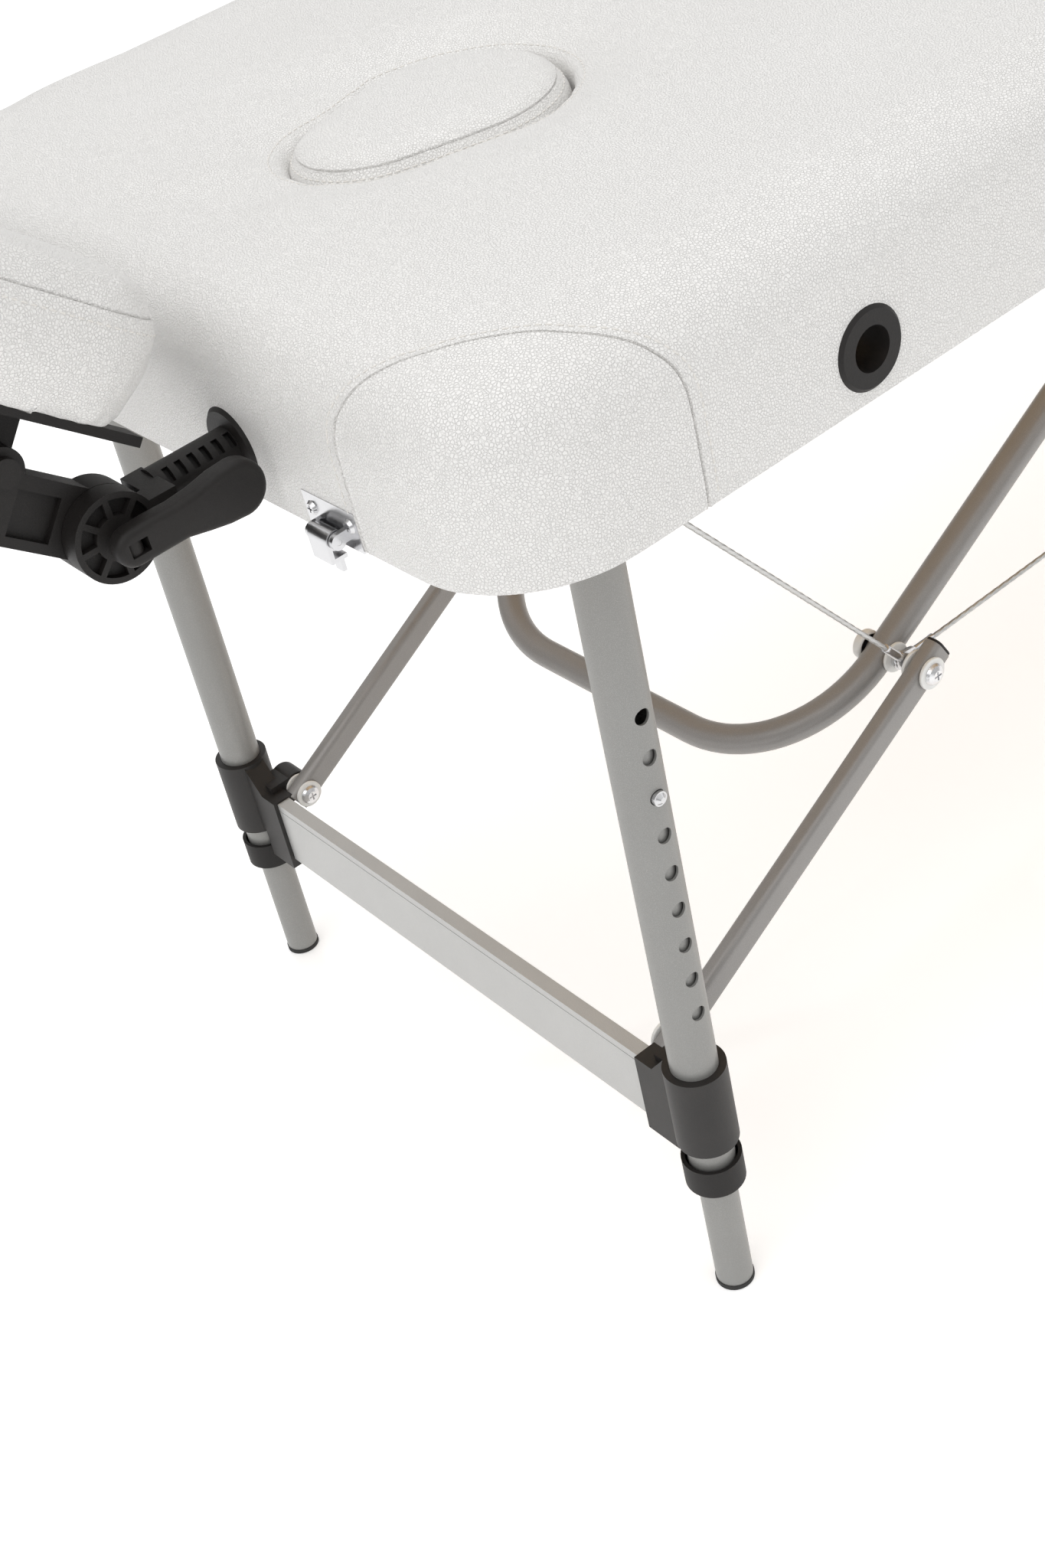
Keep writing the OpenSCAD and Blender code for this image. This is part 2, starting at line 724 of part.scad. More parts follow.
// Snap button with its collar and the plunger that rides inside the inner tube
module snap_button(end, side) {
    color(bright_metal) on_half(end) on_side(side) on_leg() translate([0, 0, button_s]) {
        along_minus_y(-3) cylinder(r = snap_r, h = outer_tube_d / 2 - 3 + 2);
        along_minus_y(-outer_tube_d / 2 - 2) cylinder(r1 = snap_r - 0.8, r2 = 1.6, h = 2);
        along_minus_y(-2) cylinder(r = 6, h = 5);
    }
}

// ---------- braces ----------

// Flat-sided strut outline of a given shrink, centred on its run from pivot to knee
module strut_outline(shrink) {
    r = strut_w / 2 - shrink;
    translate([0, -r]) square([strut_length, 2 * r]);
    translate([0, 0]) circle(r);
    translate([strut_length, -r]) square([strut_tail, 2 * r]);
}

module strut() {
    translate([strut_pivot[0], -strut_y + strut_t / 2, strut_pivot[1]]) rotate([90, 0, 0]) rotate(strut_angle)
        difference() {
            linear_extrude(strut_t) strut_outline(0);
            translate([0, 0, strut_wall]) linear_extrude(strut_t - 2 * strut_wall) strut_outline(strut_wall);
            for (x = [0, strut_length]) translate([x, 0, -1])
                cylinder(r = pin_r + running_gap, h = strut_t + 2);
        }
}

module struts(end) {
    color(brace_grey) on_half(end) on_both_sides() strut();
}

// Collar on a bolt, from one distance to a larger one from the centreline
module bolt_ring(r, from_y, to_y) {
    along_minus_y(-from_y) cylinder(r = r, h = to_y - from_y);
}

// Bolt through the strut's knee end, with its washers and the spacers between the cables' eyes
module knee_bolt() {
    outer_y = strut_y + strut_t / 2;
    inner_y = strut_y - strut_t / 2;
    start_y = loop_y + loop_d / 2 + 0.4;
    head_y = outer_y + washer_t + 0.1;
    translate([knee[0], 0, knee[1]]) {
        along_minus_y(-start_y) cylinder(r = pin_r, h = head_y - start_y + 1);
        bolt_ring(washer_r, outer_y + 0.1, head_y);
        translate([0, -head_y - bolt_head_h, 0]) rotate([-90, 0, 0]) cross_head();
        bolt_ring(washer_r, inner_y - washer_t, inner_y - 0.1);
        bolt_ring(washer_r, start_y, start_y + washer_t);
        bolt_ring(spacer_r, start_y + washer_t, centre_cable_y - eye_t / 2 - 0.1);
        bolt_ring(spacer_r, centre_cable_y + eye_t / 2 + 0.1, outer_cable_y - eye_t / 2 - 0.1);
        bolt_ring(spacer_r, outer_cable_y + eye_t / 2 + 0.1, inner_y - washer_t);
    }
}

module knee_bolts(end) {
    color(bright_metal) on_half(end) on_both_sides() knee_bolt();
}

// Bent rod of the loop's shape: two straight arms with round ends, joined by a cross run
module loop_run(d) {
    for (side = [NEAR, FAR]) on_side(side) {
        translate([loop_bend_r, -loop_y, 0]) rotate([0, 90, 0])
            cylinder(d = d, h = loop_length + loop_reach - loop_bend_r + loop_d / 2 + (loop_d - d));
        translate([loop_bend_r, -loop_y + loop_bend_r, 0]) rotate([0, 0, 180]) rotate_extrude(angle = 90)
            translate([loop_bend_r, 0]) circle(d = d);
    }
    translate([0, loop_y - loop_bend_r, 0]) rotate([90, 0, 0])
        cylinder(d = d, h = 2 * (loop_y - loop_bend_r));
}

module brace_loop(end) {
    color(brace_grey) on_half(end) {
        translate([knee[0], 0, knee[1]]) rotate([0, -loop_angle, 0]) translate([-loop_reach, 0, 0])
            difference() {
            loop_run(loop_d);
            loop_run(loop_d - 2 * loop_wall);
            for (y = [-1, 1], x = [loop_reach, loop_reach + loop_length])
                translate([x, y * loop_y + loop_d, 0]) rotate([90, 0, 0])
                    cylinder(r = pin_r + running_gap, h = 2 * loop_d);
        }
        on_both_sides() knee_nut();
    }
}

// Threaded end of the knee bolt inside the loop's arm, with its washer and lock nut
module knee_nut() {
    face_y = loop_y - loop_d / 2;
    translate([knee[0], 0, knee[1]]) {
        along_minus_y(-face_y + 6) cylinder(r = pin_r, h = loop_d + 5.9);
        along_minus_y(-face_y + 2) cylinder(r = washer_r, h = 1.9);
        along_minus_y(-face_y + 6.2) cylinder(r = 6.6, h = 4.3, $fn = 6);
    }
}

// Cable with flat crimped eyes between two points of the XZ plane, at the distance y
module cable(from, to, y) {
    run = to - from;
    length = norm(run);
    eye_r = 6;
    translate([from[0], -y, from[1]]) rotate([0, -atan2(run[1], run[0]), 0]) {
        for (x = [0, length]) translate([x, eye_t / 2, 0]) rotate([90, 0, 0]) difference() {
            cylinder(r = eye_r, h = eye_t);
            translate([0, 0, -1]) cylinder(r = pin_r + running_gap, h = eye_t + 2);
        }
        translate([5, 0, 0]) rotate([0, 90, 0]) cylinder(d = cable_d, h = length - 10);
        for (x = [5.5, length - 25.5]) translate([x, 0, 0]) rotate([0, 90, 0])
            cylinder(d = cable_d + 2, h = 20);
    }
}

module outer_cables(end) {
    color(bright_metal) on_half(end) on_both_sides() cable(cable_anchor, knee, outer_cable_y);
}

module centre_cables() {
    color(bright_metal) on_half(HEAD) on_both_sides() cable(knee, [-knee[0], knee[1]], centre_cable_y);
}

// ---------- face cradle ----------

// Slotted post that slides in an end grommet, with the fixed half of its ratchet hub
module cradle_post() {
    neck_x = hub_x + hub_r + 0.8;
    neck_length = 12;
    difference() {
        union() {
            translate([neck_x + neck_length - 2, -post_y, grommet_z]) rotate([0, 90, 0])
                cylinder(r = post_r, h = post_inner_x - neck_x - neck_length + 2);
            translate([neck_x, -post_hub_outer_y, grommet_z - 9])
                cube([neck_length, post_hub_outer_y - post_y + 9, 18]);
            translate([hub_x, -post_hub_outer_y, grommet_z - 9])
                cube([hub_r + 4, post_hub_outer_y - post_hub_inner_y, 18]);
            translate([hub_x, 0, hub_z]) along_minus_y(-post_hub_inner_y)
                cylinder(r = hub_r, h = post_hub_outer_y - post_hub_inner_y);
        }
        // Ladder of pockets in the outer side of the post
        for (i = [0 : post_slots - 1])
            translate([neck_x + neck_length + 5 + i * post_slot_pitch, -post_y, grommet_z]) rotate([45, 0, 0])
                translate([-post_slot_r, -post_slot_reach, post_r - post_slot_depth])
                    cube([2 * post_slot_r, 2 * post_slot_reach, 2 * post_slot_depth]);
        // Ring of pockets in the hub's outer face
        translate([hub_x, 0, hub_z]) along_minus_y(-post_hub_outer_y + 4) difference() {
            cylinder(r = hub_r - 3, h = 6);
            translate([0, 0, -1]) cylinder(r = 11, h = 8);
            for (a = [0 : 45 : 315]) rotate(a) translate([0, -1.5, -1]) cube([hub_r, 3, 8]);
        }
        translate([hub_x, 0, hub_z]) along_minus_y(0) cylinder(r = hub_bolt_r, h = 150);
    }
    cradle_bolt();
}

// Through rod of one hub: nut at the inner side and an eye for the cam lever's pin at the outer side
module cradle_bolt() {
    translate([hub_x, 0, hub_z]) {
        along_minus_y(-arm_inner_y + 8) cylinder(r = hub_bolt_r - running_gap, h = lever_y - arm_inner_y + 4);
        along_minus_y(-arm_inner_y + 6.5) difference() {
            cylinder(r = 8, h = 6, $fn = 6);
            translate([0, 0, -1]) cylinder(r = hub_bolt_r, h = 8);
        }
        translate([0, -lever_y, -3.5]) difference() {
            cylinder(r = 5, h = 7);
            translate([0, 0, -1]) cylinder(r = 2 + running_gap, h = 9);
        }
    }
}

module cradle_posts() {
    color(black_plastic) on_half(HEAD) on_both_sides() cradle_post();
}

// Two arms that turn on the hubs, joined by a cross bar
module cradle_arm() {
    bar_s = 26;
    color(black_plastic) on_half(HEAD) on_cradle() {
        difference() {
            union() {
                on_both_sides() {
                    along_minus_y(-arm_inner_y) cylinder(r = hub_r, h = arm_outer_y - arm_inner_y);
                    translate([0, -arm_outer_y, -arm_w / 2])
                        cube([tilt_pivot[0], arm_outer_y - arm_inner_y, arm_w]);
                    translate([tilt_pivot[0], 0, 0]) along_minus_y(-arm_inner_y) {
                        cylinder(r = arm_w / 2, h = arm_outer_y - arm_inner_y);
                        translate([0, tilt_pivot[1], 0]) cylinder(r = 11, h = arm_outer_y - arm_inner_y);
                    }
                }
                translate([bar_s, -arm_inner_y - eps, -10]) cube([14, 2 * (arm_inner_y + eps), 20]);
            }
            on_both_sides() {
                along_minus_y(-arm_inner_y + 2) cylinder(r = hub_bolt_r, h = 30);
                translate([tilt_pivot[0], 0, tilt_pivot[1]]) along_minus_y(-arm_inner_y + 2)
                    cylinder(r = hub_bolt_r + running_gap, h = 30);
                // Pocket in the arm's outer face
                translate([hub_r + 4, -arm_outer_y - 1, -arm_w / 2 + 5]) cube([22, 5, arm_w - 12]);
            }
        }
    }
}

module cradle_platform() {
    lug_inner_y = arm_inner_y - 12;
    lug_outer_y = arm_inner_y - 0.6;
    color(black_plastic) on_half(HEAD) on_cradle() {
        difference() {
            union() {
                translate([cushion_start_s + 10, -platform_half_width, platform_n])
                    cube([platform_length, 2 * platform_half_width, platform_t]);
                // Front tongues that reach past the cushion's lower edge
                on_both_sides() translate([-2, -platform_half_width, platform_n]) cube([16, 16, platform_t]);
                on_both_sides() {
                    translate([tilt_pivot[0] - 11, -lug_outer_y, tilt_pivot[1]])
                        cube([22, lug_outer_y - lug_inner_y, platform_n - tilt_pivot[1] + eps]);
                    translate([tilt_pivot[0], 0, tilt_pivot[1]]) along_minus_y(-lug_inner_y)
                        cylinder(r = 11, h = lug_outer_y - lug_inner_y);
                }
            }
            translate([70, -50, platform_n - 1]) cube([130, 100, platform_t + 2]);
            translate([-20, -38, platform_n - 1]) cube([95, 76, platform_t + 2]);
        }
        on_both_sides() translate([tilt_pivot[0], 0, tilt_pivot[1]]) {
            along_minus_y(-lug_outer_y) cylinder(r = hub_bolt_r, h = arm_outer_y - lug_outer_y + 4);
            along_minus_y(-arm_outer_y - 0.6) cylinder(r = 7, h = 4);
        }
    }
}

// Horseshoe outline of the cushion, open towards the bed, shrunk by inset
module cushion_outline(inset) {
    lobe_r = 46;
    head_r = 96;
    x_end = cushion_start_s + cushion_length;
    y_wide = cushion_width / 2;
    mouth = 33;
    difference() {
        hull() {
            for (y = [-1, 1]) {
                translate([cushion_start_s + lobe_r, y * (y_wide - lobe_r - 4)]) circle(lobe_r - inset);
                translate([x_end - head_r, y * (y_wide - head_r)]) circle(head_r - inset);
            }
        }
        hull() for (x = [118, 160]) translate([x, 0]) circle(mouth + 18 + inset);
        translate([-10, -mouth - inset]) square([130, 2 * (mouth + inset)]);
    }
}

module cradle_cushion() {
    color(vinyl) on_half(HEAD) on_cradle() translate([0, 0, cushion_n + 0.3]) {
        linear_extrude(cushion_t - 10) cushion_outline(3);
        linear_extrude(cushion_t) cushion_outline(12);
    }
}

// Teardrop cam lever with its cross pin
module cam_lever(side) {
    knuckle = 9;
    tip = 14;
    color(black_plastic) on_half(HEAD) on_side(side) translate([hub_x, -lever_y, hub_z]) {
        difference() {
            translate([0, lever_t / 2, 0]) rotate([90, 0, 0]) linear_extrude(lever_t) {
                circle(knuckle);
                translate([lever_reach, -1]) circle(tip);
                polygon([[0, knuckle], [lever_reach, tip - 1], [lever_reach, -tip - 1], [0, -knuckle]]);
            }
            translate([-knuckle - 1, -lever_t, -4]) cube([knuckle + 8, 2 * lever_t, 8]);
            translate([0, 0, -20]) cylinder(r = 2, h = 40);
        }
        translate([0, 0, -8]) cylinder(r = 2, h = 16);
    }
}

deck(HEAD);  // head_deck
frame(HEAD);  // head_frame
foam(HEAD);  // head_foam
cover(HEAD);  // head_cover
end_grommets();
side_grommets();
leg_brackets(HEAD);  // head_leg_brackets
loop_brackets(HEAD);  // head_loop_brackets
hinge_leaves(HEAD);  // head_hinge_leaves
latch_plates();
latch_screws();
latch_hook(NEAR);  // near_latch_hook
latch_hook(FAR);  // far_latch_hook
handle(HEAD);  // head_handle
outer_cables(HEAD);  // head_outer_cables
centre_cables();
breath_plug_cushion();  // plug_cushion
breath_plug_base();  // plug_base
deck(FOOT);  // foot_deck
frame(FOOT);  // foot_frame
foam(FOOT);  // foot_foam
cover(FOOT);  // foot_cover
leg_brackets(FOOT);  // foot_leg_brackets
loop_brackets(FOOT);  // foot_loop_brackets
hinge_leaves(FOOT);  // foot_hinge_leaves
latch_strikers();
handle(FOOT);  // foot_handle
outer_cables(FOOT);  // foot_outer_cables
outer_tubes(HEAD);  // head_outer_tubes
crossbar(HEAD);  // head_crossbar
crossbar_brackets(HEAD);  // head_crossbar_brackets
tube_collars(HEAD);  // head_tube_collars
outer_tubes(FOOT);  // foot_outer_tubes
crossbar(FOOT);  // foot_crossbar
crossbar_brackets(FOOT);  // foot_crossbar_brackets
tube_collars(FOOT);  // foot_tube_collars
struts(HEAD);  // head_struts
knee_bolts(HEAD);  // head_knee_bolts
brace_loop(HEAD);  // head_brace_loop
struts(FOOT);  // foot_struts
knee_bolts(FOOT);  // foot_knee_bolts
brace_loop(FOOT);  // foot_brace_loop
inner_leg(HEAD, NEAR);  // head_near_inner_leg
foot_cap(HEAD, NEAR);  // head_near_foot_cap
snap_button(HEAD, NEAR);  // head_near_snap_button
inner_leg(HEAD, FAR);  // head_far_inner_leg
foot_cap(HEAD, FAR);  // head_far_foot_cap
snap_button(HEAD, FAR);  // head_far_snap_button
inner_leg(FOOT, NEAR);  // foot_near_inner_leg
foot_cap(FOOT, NEAR);  // foot_near_foot_cap
snap_button(FOOT, NEAR);  // foot_near_snap_button
inner_leg(FOOT, FAR);  // foot_far_inner_leg
foot_cap(FOOT, FAR);  // foot_far_foot_cap
snap_button(FOOT, FAR);  // foot_far_snap_button
cradle_posts();
cradle_arm();
cradle_platform();
cradle_cushion();
cam_lever(NEAR);  // near_cam_lever
cam_lever(FAR);  // far_cam_lever
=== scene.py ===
"""Looks of the folding massage table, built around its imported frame: upholstery, cables, levers and finishes."""

import json
import logging
import math
from dataclasses import dataclass, field
from enum import Enum
from typing import Callable, Sequence, Union

import bmesh
import bpy
from mathutils import Matrix, Vector
from mathutils.bvhtree import BVHTree


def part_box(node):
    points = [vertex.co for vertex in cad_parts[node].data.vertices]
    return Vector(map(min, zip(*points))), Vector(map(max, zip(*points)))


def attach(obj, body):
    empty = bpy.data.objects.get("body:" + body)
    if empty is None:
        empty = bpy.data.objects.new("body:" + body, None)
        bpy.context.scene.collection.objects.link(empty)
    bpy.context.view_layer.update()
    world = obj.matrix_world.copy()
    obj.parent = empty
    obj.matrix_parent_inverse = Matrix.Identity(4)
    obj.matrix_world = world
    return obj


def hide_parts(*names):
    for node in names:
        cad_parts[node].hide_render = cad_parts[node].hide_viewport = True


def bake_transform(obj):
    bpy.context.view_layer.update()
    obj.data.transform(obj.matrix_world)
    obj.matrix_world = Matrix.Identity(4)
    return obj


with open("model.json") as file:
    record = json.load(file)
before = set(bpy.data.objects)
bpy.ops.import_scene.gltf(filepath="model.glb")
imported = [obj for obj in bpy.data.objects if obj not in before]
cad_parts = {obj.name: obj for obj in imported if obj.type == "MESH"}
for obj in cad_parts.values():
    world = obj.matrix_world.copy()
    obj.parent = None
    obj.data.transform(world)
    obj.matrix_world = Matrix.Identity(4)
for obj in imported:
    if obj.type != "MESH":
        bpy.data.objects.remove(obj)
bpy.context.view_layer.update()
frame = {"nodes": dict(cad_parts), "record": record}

LOG = logging.getLogger("massage_table")
MM = 0.001
HINGE_X = 0.126
CAD_NODES = frame["nodes"]


class End(Enum):
    """The two halves of the bed, with the sign of their X direction from the hinge."""

    HEAD = -1
    FOOT = 1

    @property
    def word(self) -> str:
        """Name of the half as its nodes and bodies spell it."""
        return self.name.lower()

    def x(self, local: float) -> float:
        """Frame X of a distance from the hinge, where a negative distance lies on this half."""
        return HINGE_X - self.value * local if self is End.FOOT else HINGE_X + local


class Side(Enum):
    """The two long sides, with the sign of their Y direction."""

    NEAR = -1
    FAR = 1

    @property
    def word(self) -> str:
        """Name of the side as its nodes and bodies spell it."""
        return self.name.lower()


# ---------- shader maths ----------


class Value:
    """A number socket with the usual operators, each of which adds its Math node."""

    def __init__(self, shader: "Shader", socket: bpy.types.NodeSocket) -> None:
        """Wraps a socket of a shader's tree."""
        self.shader = shader
        self.socket = socket

    def _math(self, operation: str, *values: "Number") -> "Value":
        """Adds one Math node on these values."""
        return self.shader.math(operation, *values)

    def __add__(self, other: "Number") -> "Value":
        """Sum."""
        return self._math("ADD", self, other)

    def __radd__(self, other: float) -> "Value":
        """Sum with a plain number first."""
        return self._math("ADD", other, self)

    def __sub__(self, other: "Number") -> "Value":
        """Difference."""
        return self._math("SUBTRACT", self, other)

    def __rsub__(self, other: float) -> "Value":
        """Difference from a plain number."""
        return self._math("SUBTRACT", other, self)

    def __mul__(self, other: "Number") -> "Value":
        """Product."""
        return self._math("MULTIPLY", self, other)

    def __rmul__(self, other: float) -> "Value":
        """Product with a plain number first."""
        return self._math("MULTIPLY", other, self)

    def power(self, exponent: float) -> "Value":
        """This value raised to a power."""
        return self._math("POWER", self, exponent)

    def absolute(self) -> "Value":
        """This value without its sign."""
        return self._math("ABSOLUTE", self)

    def within(self, low: float, high: float) -> "Value":
        """1 between two limits and 0 outside them."""
        return self._math("GREATER_THAN", self, low) * self._math("LESS_THAN", self, high)

    def below(self, limit: float, width: float) -> "Value":
        """1 where this value is under a limit, falling smoothly to 0 over a width."""
        node = self.shader.add("ShaderNodeMapRange", {"interpolation_type": "SMOOTHSTEP"},
                               {"Value": self, "From Min": limit - width, "From Max": limit,
                                "To Min": 1.0, "To Max": 0.0})
        return Value(self.shader, node.outputs["Result"])


Number = Union[Value, float]


class Shader:
    """Builds one Principled material's node tree."""

    def __init__(self, name: str) -> None:
        """Starts an empty material with a Principled shader.

        Args:
            name: name of the material.
        """
        self.material = bpy.data.materials.new(name)
        self.material.use_nodes = True
        self.tree = self.material.node_tree
        self.tree.nodes.clear()
        self.output = self.add("ShaderNodeOutputMaterial")
        self.principled = self.add("ShaderNodeBsdfPrincipled")
        self.tree.links.new(self.principled.outputs["BSDF"], self.output.inputs["Surface"])
        self.coordinates = self.add("ShaderNodeTexCoord").outputs["Object"]

    def add(self, kind: str, settings: dict | None = None, values: dict | None = None) -> bpy.types.Node:
        """Adds a node, sets its settings first and then its sockets.

        Args:
            kind: the node's type name.
            settings: attributes of the node, with a ramp's stops under "stops".
            values: numbers, colours or sockets for its inputs, by name or index.

        Returns:
            The new node.
        """
        node = self.tree.nodes.new(kind)
        for name, value in (settings or {}).items():
            if name == "stops":
                self._set_stops(node, value)
            else:
                setattr(node, name, value)
        for name, value in (values or {}).items():
            self._feed(node.inputs[name], value)
        return node

    def _set_stops(self, node: bpy.types.Node, stops: Sequence[tuple]) -> None:
        """Gives a ramp its stops, each a position and a colour."""
        ramp = node.color_ramp
        while len(ramp.elements) < len(stops):
            ramp.elements.new(1.0)
        for element, (position, colour) in zip(ramp.elements, stops):
            element.position = position
            element.color = (*colour, 1.0)

    def _feed(self, target: bpy.types.NodeSocket, value: object) -> None:
        """Links a value or a socket into an input, or sets the input's own value."""
        if isinstance(value, Value):
            self.tree.links.new(value.socket, target)
        elif isinstance(value, bpy.types.NodeSocket):
            self.tree.links.new(value, target)
        else:
            target.default_value = value

    def math(self, operation: str, *values: Number) -> Value:
        """Adds a Math node and returns its result."""
        node = self.add("ShaderNodeMath", {"operation": operation}, dict(enumerate(values)))
        return Value(self, node.outputs[0])

    def noise(self, scale: float, detail: float = 4.0, roughness: float = 0.5,
              coordinates: bpy.types.NodeSocket | None = None) -> Value:
        """Noise over the piece, from 0 to 1, with its scale in waves per metre."""
        node = self.add("ShaderNodeTexNoise", {}, {"Vector": coordinates or self.coordinates, "Scale": scale,
                                                   "Detail": detail, "Roughness": roughness})
        return Value(self, node.outputs["Fac"])

    def cells(self, scale: float, feature: str = "F1", randomness: float = 1.0,
              coordinates: bpy.types.NodeSocket | None = None) -> Value:
        """Distance pattern of random cells, with its scale in cells per metre."""
        node = self.add("ShaderNodeTexVoronoi", {"feature": feature},
                        {"Vector": coordinates or self.coordinates, "Scale": scale, "Randomness": randomness})
        return Value(self, node.outputs["Distance"])

    def stretched(self, scale: Sequence[float]) -> bpy.types.NodeSocket:
        """Object coordinates stretched by a factor along each axis."""
        node = self.add("ShaderNodeMapping", {}, {"Vector": self.coordinates, "Scale": scale})
        return node.outputs["Vector"]

    def mix(self, mask: Value, low: Sequence[float], high: object) -> bpy.types.NodeSocket:
        """Colour that goes from low to high as the mask goes from 0 to 1."""
        low_value = low if isinstance(low, bpy.types.NodeSocket) else (*low, 1.0)
        high_value = high if isinstance(high, bpy.types.NodeSocket) else (*high, 1.0)
        node = self.add("ShaderNodeMix", {"data_type": "RGBA"}, {0: mask, 6: low_value, 7: high_value})
        return node.outputs[2]

    def place(self) -> tuple[Value, Value, Value]:
        """The three object coordinates, as numbers."""
        split = self.add("ShaderNodeSeparateXYZ", {}, {"Vector": self.coordinates})
        return tuple(Value(self, split.outputs[axis]) for axis in "XYZ")

    def bump(self, height: Value, distance: float, strength: float = 1.0) -> None:
        """Feeds the shader's normal from a height, whose full step is a distance in metres."""
        node = self.add("ShaderNodeBump", {}, {"Height": height, "Distance": distance, "Strength": strength})
        self.tree.links.new(node.outputs["Normal"], self.principled.inputs["Normal"])

    def set(self, **values: object) -> None:
        """Sets or links the Principled shader's inputs, with underscores for spaces in their names."""
        for name, value in values.items():
            self._feed(self.principled.inputs[name.replace("_", " ")], value)


@dataclass(frozen=True)
class Vinyl:
    """Pebbled upholstery vinyl with a satin skin."""

    name: str = "white_vinyl"
    light: tuple = (0.865, 0.855, 0.838)
    shade: tuple = (0.825, 0.812, 0.792)
    pebbles: float = 620.0
    creases: float = 260.0
    relief: float = 0.00042

    def make(self) -> bpy.types.Material:
        """Builds the material."""
        s = Shader(self.name)
        drift = s.noise(9.0, 3.0)
        grain = s.cells(self.pebbles, "DISTANCE_TO_EDGE")
        grooves_and_painted_shade = grain.below(0.16, 0.16)
        folds = s.noise(self.creases, 3.0, 0.62)
        colour = s.mix(drift, self.shade, self.light)
        # The grooves between the pebbles get a darker base colour: painted shade in the grooves, on top of their
        # sunk bump.
        s.set(Base_Color=s.mix(grooves_and_painted_shade * 0.10, colour, (0.62, 0.60, 0.57)),
              Roughness=0.40 + 0.10 * folds + 0.10 * grooves_and_painted_shade, Coat_Weight=0.12, Coat_Roughness=0.35)
        s.principled.inputs["Specular IOR Level"].default_value = 0.42
        s.bump(1.0 - grooves_and_painted_shade * 0.75 + folds * 0.8 + s.noise(40.0, 2.0) * 1.2, self.relief, 0.9)
        return s.material


@dataclass(frozen=True)
class MouldedPlastic:
    """Black moulded plastic with a spark-eroded texture and slightly lighter worn spots."""

    name: str = "black_plastic"
    colour: tuple = (0.0085, 0.0072, 0.0066)
    worn: tuple = (0.028, 0.024, 0.022)
    grit: float = 1500.0
    roughness: float = 0.42

    def make(self) -> bpy.types.Material:
        """Builds the material."""
        s = Shader(self.name)
        grit = s.noise(self.grit, 4.0, 0.6)
        cloud = s.noise(38.0, 5.0, 0.6)
        s.set(Base_Color=s.mix(cloud.power(3.0) * 0.9, self.colour, self.worn),
              Roughness=self.roughness + 0.16 * grit + 0.10 * cloud)
        s.principled.inputs["Specular IOR Level"].default_value = 0.36
        s.bump(grit + 0.4 * s.noise(320.0, 3.0), 0.00012, 0.7)
        return s.material


@dataclass(frozen=True)
class PowderCoat:
    """Satin metallic powder coat: fine flakes over a slightly wavy skin."""

    name: str
    colour: tuple
    flake: tuple
    roughness: float = 0.34
    metallic: float = 0.35

    def make(self) -> bpy.types.Material:
        """Builds the material."""
        s = Shader(self.name)
        flakes = s.cells(2600.0).below(0.33, 0.14)
        cloud = s.noise(30.0, 4.0)
        base = s.mix(cloud * 0.6, self.colour, tuple(c * 0.86 for c in self.colour))
        s.set(Base_Color=s.mix(flakes * 0.55, base, self.flake),
              Roughness=self.roughness + 0.10 * s.noise(420.0, 3.0), Metallic=self.metallic)
        s.bump(s.noise(700.0, 3.0) + 0.5 * s.noise(140.0, 2.0), 0.00010, 0.55)
        return s.material


@dataclass(frozen=True)
class BrightMetal:
    """Plated metal with faint polishing marks and a dulled film here and there."""

    name: str = "chrome"
    colour: tuple = (0.66, 0.66, 0.67)
    roughness: float = 0.16

    def make(self) -> bpy.types.Material:
        """Builds the material."""
        s = Shader(self.name)
        film = s.noise(90.0, 4.0, 0.6)
        marks = s.noise(900.0, 2.0, 0.5, s.stretched((1.0, 1.0, 0.12)))
        s.set(Base_Color=s.mix(film * 0.4, self.colour, tuple(c * 0.72 for c in self.colour)),
              Metallic=1.0, Roughness=self.roughness + 0.12 * film)
        s.bump(marks, 0.00004, 0.4)
        return s.material


@dataclass(frozen=True)
class Nylon:
    """Milky white washer plastic."""

    name: str = "white_nylon"
    colour: tuple = (0.86, 0.86, 0.84)

    def make(self) -> bpy.types.Material:
        """Builds the material."""
        s = Shader(self.name)
        cloud = s.noise(300.0, 3.0)
        s.set(Base_Color=s.mix(cloud, self.colour, tuple(c * 0.93 for c in self.colour)),
              Roughness=0.30 + 0.12 * cloud)
        s.principled.inputs["Subsurface Weight"].default_value = 0.15
        s.principled.inputs["Subsurface Radius"].default_value = (0.002, 0.002, 0.002)
        s.bump(cloud, 0.00005, 0.4)
        return s.material


@dataclass(frozen=True)
class Plywood:
    """Lacquered birch plywood, with its grain along the bed."""

    name: str = "birch_plywood"
    early: tuple = (0.63, 0.48, 0.30)
    late: tuple = (0.50, 0.34, 0.19)

    def make(self) -> bpy.types.Material:
        """Builds the material."""
        s = Shader(self.name)
        grain = s.noise(34.0, 6.0, 0.62, s.stretched((0.07, 1.0, 1.0)))
        fibres = s.noise(420.0, 3.0, 0.6, s.stretched((0.04, 1.0, 1.0)))
        s.set(Base_Color=s.mix(grain * 0.75 + fibres * 0.25, self.early, self.late),
              Roughness=0.44 + 0.18 * fibres, Coat_Weight=0.2, Coat_Roughness=0.3)
        s.bump(fibres + grain * 0.5, 0.00012, 0.6)
        return s.material


